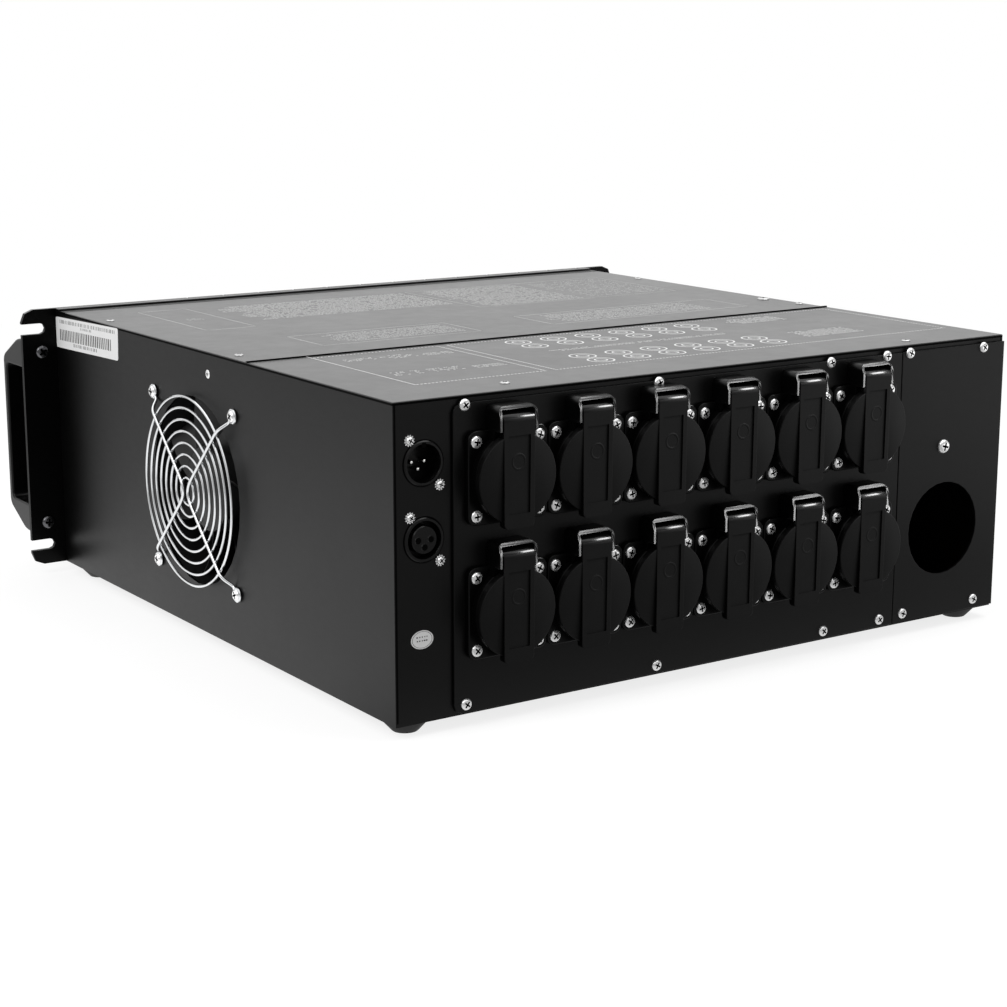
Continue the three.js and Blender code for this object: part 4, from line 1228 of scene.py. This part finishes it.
# %% Handles
HANDLE_BAR = 5.3
WINDOW_HALF = 46.5
MITRE_OUT = 15
MITRE_RISE = 14
HANDLE_SCREWS = [(228.1, 143.9), (229.4, 28.5)]


def is_fold(edge):
    return abs(edge.verts[0].co.x - edge.verts[1].co.x) > 5


for side in ("fan_side", "far_side"):
    low, high = node_span("handle_" + side)
    front, back, half = low.y, high.y, (high.z - low.z) / 2
    foot = [(back, half), (back - MITRE_OUT, half), (front, half - MITRE_RISE)]
    window = [(front + HANDLE_BAR, WINDOW_HALF), (back, WINDOW_HALF)]
    lower = [(y, -z) for y, z in foot]
    upper = foot[::-1] + window[::-1] + [(y, -z) for y, z in window]
    handle = slab(lower + upper, low.x, high.x, "x")
    off_ear = lambda e: min(v.co.y for v in e.verts) < back - 0.5
    rounded(handle, 4, 5, math.radians(10), lambda e: off_ear(e) and is_fold(e))
    rounded(handle, 1.2, 3, test=lambda e: off_ear(e) and not is_fold(e))
    moved(handle, (0, 0, (low.z + high.z) / 2))
    keep("bow_" + side, handle, handle_coat, ["handle_" + side])
handle_screw_points = [(s * x, panel_back, z) for x, z in HANDLE_SCREWS for s in (-1, 1)]
screws("handle_screws", handle_screw_points, "y", 9.2, 2.4, black_steel)

# %% [markdown]
# ## Feet
# A rubber foot is a truncated cone with a soft rim and a countersunk hole for its screw.

# %% Feet
for end in ("front", "rear"):
    for side in ("fan_side", "far_side"):
        node = f"foot_{end}_{side}"
        low, high = node_span(node)
        top = (high.x - low.x) / 2
        height = high.z - low.z
        cone = [(0, 3), (2, 3), (3.6, 0), (6.9, 0), (7.5, 0.5)]
        cone += [(top - 0.4, height - 0.6), (top, height), (0, height)]
        foot = moved(turned(cone, 40), (*node_middle(node).xy, low.z))
        keep(node + "_rubber", foot, rubber, [node])

# %% [markdown]
# ## The label and the sticker
# A paper label on the fan's side has a strip of bars between two rows of fine marks, and an oval
# silver sticker is on the back. Both are thin sheets with generic marks of ink on them.

# %% Label and sticker
LABEL_LENGTH = 98
LABEL_CORNERS = [(-0.5, 146.6), (97.8, 149.6), (98.9, 170.2), (-0.4, 166.9)]
LABEL_SHIFT = 0.9
CORNER_CUT = 1.8
PAPER = 0.12
FILM = 0.03
BARS_UP = 0.43
BAR_HEIGHT = 7.3
SMALL_ROWS = [(0.86, 0.08, 0.96, 2.3), (0.735, 0.42, 0.59, 1.5), (0.16, 0.3, 0.68, 2.1)]
random.seed(7)
around = [Vector(corner) for corner in LABEL_CORNERS]
outline = []
for i, corner in enumerate(around):
    outline += soft_corner(around[i - 1], corner, around[(i + 1) % 4], CORNER_CUT, 4)
outline = [(y + LABEL_SHIFT, z) for y, z in outline]
label = slab(outline, HALF_WIDTH, HALF_WIDTH + PAPER, "x")
keep("side_label", label, label_white)


def ink_mark(share_y, share_z, width, height):
    """A small upright rectangle of ink, by its shares along the label's length and height."""
    lower = around[0].lerp(around[1], share_y)
    upper = around[3].lerp(around[2], share_y)
    spot = Vector((HALF_WIDTH + PAPER, *lower.lerp(upper, share_z)))
    half = Vector((FILM, width / 2, height / 2))
    return block(spot - half, spot + half)


marks = []
share, end = 0.08, 0.92
while share < end:
    bar = random.choice((1.1, 1.3, 1.5))
    marks.append(ink_mark(share, BARS_UP, bar, BAR_HEIGHT))
    share += (bar + random.choice((1.4, 1.6))) / LABEL_LENGTH
keep("label_bars", joined(*marks), label_ink)
marks = []
for row_z, share, end, tall in SMALL_ROWS:
    while share < end:
        marks.append(ink_mark(share, row_z, random.uniform(0.5, 1.1), tall))
        share += random.uniform(0.017, 0.029)
keep("label_marks", joined(*marks), faint_ink)

STICKER_CENTRE = Vector((201.1, CASE_DEPTH, 45.1))
oval = Matrix.Translation(STICKER_CENTRE) @ Matrix.Diagonal((6.8, 1, 5.0, 1))
keep("back_sticker", moved(puck(1, PAPER), oval), sticker_silver)
rim = moved(hoop(0.86, 0.9, 0, PAPER + FILM), oval)
keep("sticker_rim", rim, label_ink)
dashes = []
for row in (-0.9, 1.1):
    for place in (-3.2, -1.9, -0.4, 1.1, 2.6):
        low = STICKER_CENTRE + Vector((place, 0.1, row))
        dashes.append(block(low, low + Vector((random.uniform(0.5, 1.1), 0.05, 0.7))))
keep("sticker_marks", joined(*dashes), label_ink)

# %% [markdown]
# ## Screen print on the covers
# The covers carry white screen print: thin frames, dotted frames, fine rows of small print and
# pairs of rings that stand for the outlets. Nothing here is lettering. Every mark is a very thin
# solid on the cover, because a mark that is a fifth of a millimetre wide would blur in a picture.

# %% Frames and dots
INK = 0.05


def print_bar(low, high):
    """A flat mark between two corners (x, y) on the covers."""
    return block((*low, cover_top - INK), (*high, cover_top + INK))


def print_frame(x_span, y_span, line=0.5):
    (x0, x1), (y0, y1) = x_span, y_span
    level = [print_bar((x0, y), (x1, y + line)) for y in (y0, y1 - line)]
    return joined(*level, *[print_bar((x, y0), (x + line, y1)) for x in (x0, x1 - line)])


def dots_along(start, end, pitch=2.4, dot=1.3, line=1.0):
    """A dotted line between two points, along x or y."""
    start, end = Vector(start), Vector(end)
    way = (end - start).normalized()
    count = int((end - start).length // pitch)
    size = Vector((line, line)) / 2 + Vector((abs(way.x), abs(way.y))) * (dot - line) / 2
    mark = block((*(-size), -INK), (*size, INK))
    spots = [start + way * (i * pitch + dot / 2) for i in range(count + 1)]
    return repeated(mark, on_top(spots))


def dotted_frame(x_span, y_span):
    (x0, x1), (y0, y1) = x_span, y_span
    level = [dots_along((x0, y), (x1, y)) for y in y_span]
    return joined(*level, *[dots_along((x, y0), (x, y1)) for x in x_span])

# %% Small print
def small_print(x_span, y_span, pitch, height, longest, gaps=0.12):
    """Rows of short dashes of random length, as fine print looks from a step away."""
    marks = []
    y = y_span[0]
    while y < y_span[1]:
        x = x_span[0] + random.uniform(0, 1.5)
        end = x_span[1] - random.uniform(0, (x_span[1] - x_span[0]) * 0.12)
        while x < end:
            dash = random.uniform(0.5, longest)
            if random.random() > gaps:
                marks.append((x, y, dash))
            x += dash + random.uniform(0.4, 0.8)
        y += pitch
    mark = block((0, 0, -INK), (1, height, INK))
    places = [
        Matrix.Translation((x, y, cover_top)) @ Matrix.Diagonal((dash, 1, 1, 1))
        for x, y, dash in marks
    ]
    return repeated(mark, places)

# %% Print on the front cover
FRONT_FRAMES = [
    ((143.5, 178), (42.5, 144.5)),
    ((-190, -24), (48, 146), 0.35),
    ((38, 150), (196, 241)),
    ((-176, -16), (196, 241)),
]
FRONT_SMALL = [
    ((156, 166), (90, 98), 3, 0.7, 2),
    ((-20, 131), (50, 120), 3.1, 1.1, 2.6),
    ((-112, -30), (52, 142), 3.3, 1, 2.6),
    ((-186, -118), (56, 138), 6.2, 0.9, 2, 0.4),
    ((44, 134), (203, 236), 3.3, 1, 2.4),
    ((-150, -22), (202, 236), 3.3, 1, 2.4),
]
random.seed(23)
frames = [print_frame(*row) for row in FRONT_FRAMES]
front_print = joined(*frames, *[small_print(*row) for row in FRONT_SMALL])
keep("front_cover_print", front_print, print_white)

# %% Print on the rear cover
RING_HALF = 8.2
PAIR_PITCH = 25.6
FIRST_PAIR = 47
PAIR_ROWS = (302.5, 367.5)
REAR_SMALL = [
    ((-80, 52), (331.5, 336), 3, 0.8, 2.2),
    ((-155, -112), (288, 304), 3.2, 0.9, 2.2),
    ((-158, -112), (352, 372), 3.2, 0.9, 2.2),
    ((100, 120), (300, 309), 3, 0.8, 2),
    ((124, 146), (296, 306), 3, 0.8, 2, 0.5),
    ((150, 170), (296, 304), 3, 0.8, 2, 0.3),
    ((100, 120), (354, 363), 3, 0.8, 2),
    ((126, 148), (350, 360), 3, 0.8, 2, 0.4),
    ((152, 172), (350, 360), 3, 0.8, 2, 0.5),
]


def ring_pair():
    """Two outlined rings side by side, each with a smaller one inside."""
    big = hoop(RING_HALF - 1, RING_HALF, -INK, INK, 24, "z")
    small = hoop(3.2, 4.1, -INK, INK, 20, "z")
    return repeated(joined(big, small), [(0, y * (RING_HALF + 0.6), 0) for y in (-1, 1)])


pairs = [(FIRST_PAIR - i * PAIR_PITCH, y) for y in PAIR_ROWS for i in range(6)]
open_frame = [((95.5, 280), (95.5, 391)), ((95.5, 391), (179, 391)), ((95.5, 280), (179, 280))]
rear_print = joined(
    print_bar((179, 272), (179.6, 391.5)),
    *[dots_along(*ends) for ends in open_frame],
    dotted_frame((-208, 88.5), (280, 391)),
    repeated(ring_pair(), on_top(pairs)),
    *[small_print(*row) for row in REAR_SMALL],
)
keep("rear_cover_print", rear_print, print_bright)

# %% [markdown]
# ## The front
# Twelve breakers stand behind twelve windows in the rack panel, one under each notch of its top
# edge, and a display with four menu buttons is at the right. The breakers' solids are right, so
# copies of them get soft edges.

# %% Breakers, toggles, display and buttons
CAP = [(0, 0), (3.4, 0), (4.1, 0.35), (4.3, 1), (4.3, 6.3), (5.4, 6.3), (5.4, 7.5)]
STEM = [(2, 7.5), (2, 18.1), (0, 18.1)]


def is_main_edge(edge):
    return edge.calc_length() > 3


def front_middle(node):
    """The middle of a node's foremost side."""
    middle = node_middle(node)
    return Vector((middle.x, node_span(node)[0].y, middle.z))


breakers = rounded(copy_of("breaker_row"), 0.4, 2, test=is_main_edge)
keep("breaker_housings", breakers, breaker_plastic, ["breaker_row"])
for tag in TAGS:
    node = "breaker_lever_" + tag
    toggle = rounded(copy_of(node), 0.5, 2, test=is_main_edge)
    keep("toggle_" + tag, toggle, toggle_plastic, [node], "lever_" + tag)
for number in "1234":
    node, body = "menu_button_" + number, "button_" + number
    button = moved(turned(CAP + STEM, 40, toward="y"), front_middle(node))
    keep("button_cap_" + number, button, button_plastic, [node], body)

# %% Display
DISPLAY_HALF = (25, 9.5)
GLASS_HALF = (22.8, 7.3)
DISPLAY_UP = 30
CELL_PITCH = 2.6
CELL_ROWS = (-3, 3)
there = front_middle("control_board") + Vector((0, 0, DISPLAY_UP))


def pane(half, corner, thickness):
    """A thin sheet in front of the display, by its half width and half height."""
    outline = round_rectangle(*[(-reach, reach) for reach in half], corner, 4)
    return moved(rounded(slab(outline, -thickness, 0, "y"), 0.15, 1), there)


def in_display(face):
    spot = face.calc_center_median() - there
    return abs(spot.x) < DISPLAY_HALF[0] + 0.1 and abs(spot.z) < DISPLAY_HALF[1] + 0.1


keep("display_window", pane(GLASS_HALF, 0.8, 0.5), display_glass)
keep("display_bezel", pane(DISPLAY_HALF, 0.6, 0.25), black_and_painted_shade)
cell = block((-1.05, -0.53, -2.2), (1.05, -0.45, 2.2))
spots = [((i - 7.5) * CELL_PITCH, 0, z) for i in range(16) for z in CELL_ROWS]
keep("display_cells", moved(repeated(cell, spots), there), display_cells)
board = painted(copy_of("control_board"), in_display)
keep("board", board, [board_green, black_and_painted_shade], ["control_board"])

# %% [markdown]
# ## What is inside
# Through the cable hole one sees the power stage: a deck with a finned heat sink, twelve chokes
# and the mains terminals. It is one solid, so its faces get their finish by where they are. The
# fan's frame is right as it is, and only gets a finish of its own.

# %% Power stage and fan frame
DECK_HEIGHT = 8.1
CHOKES_BEGIN = 275
TERMINALS = ((-187, -156), (319, 341))
deck_top = node_span("power_stage")[0].z + DECK_HEIGHT


def stage_finish(face):
    """0 for the deck and the sink, 1 for a choke, 2 for the terminals."""
    spot = face.calc_center_median()
    (x0, x1), (y0, y1) = TERMINALS
    if spot.z < deck_top or spot.y < CHOKES_BEGIN:
        return 0
    return 2 if x0 < spot.x < x1 and y0 < spot.y < y1 else 1


stage = painted(copy_of("power_stage"), stage_finish)
stage_finishes = [sink_aluminium, choke_copper, terminal_plastic]
keep("power_stage_dressed", stage, stage_finishes, ["power_stage"])
fan_frame = frame["nodes"]["fan_frame"]
fan_frame.data.materials.clear()
fan_frame.data.materials.append(fan_plastic)

# %% [markdown]
# ## Floor, world and lamps
# The picture has a plain white ground. The floor is pale and keeps the shadow, and rays from the
# camera and mirror rays see it brighter, so that it meets the white world without an edge.

# %% Floor
FLOOR_HALF = 8
floor_shape = bmesh.new()
bmesh.ops.create_grid(floor_shape, x_segments=1, y_segments=1, size=FLOOR_HALF)
floor_mesh = poured(floor_shape, "floor")
floor = put("floor", floor_mesh)
for vert in floor_mesh.vertices:
    vert.co.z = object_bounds()[0].z

ground = Finish("ground")
spot = ground.node("ShaderNodeTexCoord", output="Object")
across, behind = ground.part(spot, "X"), ground.part(spot, "Y")
away = ground.node("ShaderNodeVectorMath", {"operation": "LENGTH"}, [spot], output=1)


def glow(strength):
    return ground.node("ShaderNodeEmission", inputs={"Color": grey(1.0), "Strength": strength})


def mixed(factor, first, second):
    return ground.node("ShaderNodeMixShader", inputs=[factor, first, second])


ground.set(Base_Color=grey(0.8), Roughness=0.9)
plain = Signal(ground, ground.shader.outputs[0])
soft = ground.node("ShaderNodeBsdfDiffuse", inputs={"Color": grey(0.3)})
near = ground.node("ShaderNodeAddShader", inputs=[soft, glow(0.8)])
seen = mixed(ground.spread(away, 0.5, 1.4, 0, 1), near, glow(1.0))
front = mixed(ground.spread(behind, -0.7, -0.1, 0, 1), glow(0.85), glow(1.45))
card = mixed(ground.spread(across, -0.15, -0.9, 0, 1), glow(0.46), glow(1.8))
mirrored = mixed(ground.spread(behind, 0.1, 0.35, 0, 1), front, card)
surface = mixed(ground.ray("Is Camera Ray"), plain, seen)
surface = mixed(ground.mirror_rays(), surface, mirrored)
ground.feed(ground.tree.nodes["Material Output"].inputs[0], surface)
floor_mesh.materials.append(ground.material)
print("floor, m across:", 2 * FLOOR_HALF)

# %% [markdown]
# ## The studio round it
# A black object shows its surroundings more than its colour. The studio is bright behind the
# object and dark behind the camera, so the top turns silver and the back stays black. Mirror
# rays read that from their direction; diffuse rays get one even level.

# %% World
world = bpy.data.worlds.new("studio")
bpy.context.scene.world = world
world.use_nodes = True
sky = Graph(world.node_tree)
heading = sky.node("ShaderNodeTexCoord", output="Generated")
toward_camera, upwards = sky.part(heading, "Y"), sky.part(heading, "Z")
from_around = sky.spread(toward_camera, -0.35, 0.3, 1.1, 0.48)
mirror_level = from_around + sky.spread(upwards, 0.35, 0.8, 0, 0.9)
mirror_rays = sky.mirror_rays()
other_level = sky.ray("Is Camera Ray") * 0.35 + 0.65
level = mirror_rays * mirror_level + (1 - mirror_rays) * other_level
background = sky.tree.nodes["Background"]
background.inputs["Color"].default_value = grey(1.0)
sky.feed(background.inputs["Strength"], level)
print("nodes of the world:", len(sky.tree.nodes))

# %% [markdown]
# ## Lamps
# Three soft boxes: one for the fan's side, one overhead, and a bright one far off to the right,
# which draws the streak along the rounded heels of the lids. It is linked to the outlets alone,
# as if flags kept it off the covers, where it would leave a glare.

# %% Lamps
def soft_lamp(name, place, target, width, height, power):
    """A soft box that looks at a target, and that the camera itself doesn't see."""
    lamp = bpy.data.lights.new(name, "AREA")
    lamp.shape = "RECTANGLE"
    lamp.size, lamp.size_y = width, height
    lamp.energy = power
    holder = put(name, lamp)
    holder.location = place
    holder.rotation_euler = (Vector(target) - Vector(place)).to_track_quat("-Z", "Y").to_euler()
    holder.visible_camera = False
    return holder


soft_lamp("key_lamp", (1.8, 0.4, 1.5), (0, 0, 0.1), 1.0, 1.0, 14)
soft_lamp("top_lamp", (-0.7, 0.6, 1.7), (0, 0.1, 0.1), 1.1, 1.1, 8)
heel_lamp = soft_lamp("heel_lamp", (-1.32, 1.0, 1.2), (-1.12, 0.25, 0.1), 0.8, 0.6, 80)
flagged = bpy.data.collections.new("lit by the heel lamp")
for piece in bpy.data.objects:
    if piece.name.startswith(("lid_shell", "outlet_shell")):
        flagged.objects.link(piece)
heel_lamp.light_linking.receiver_collection = flagged
bpy.context.scene.view_settings.view_transform = "Standard"
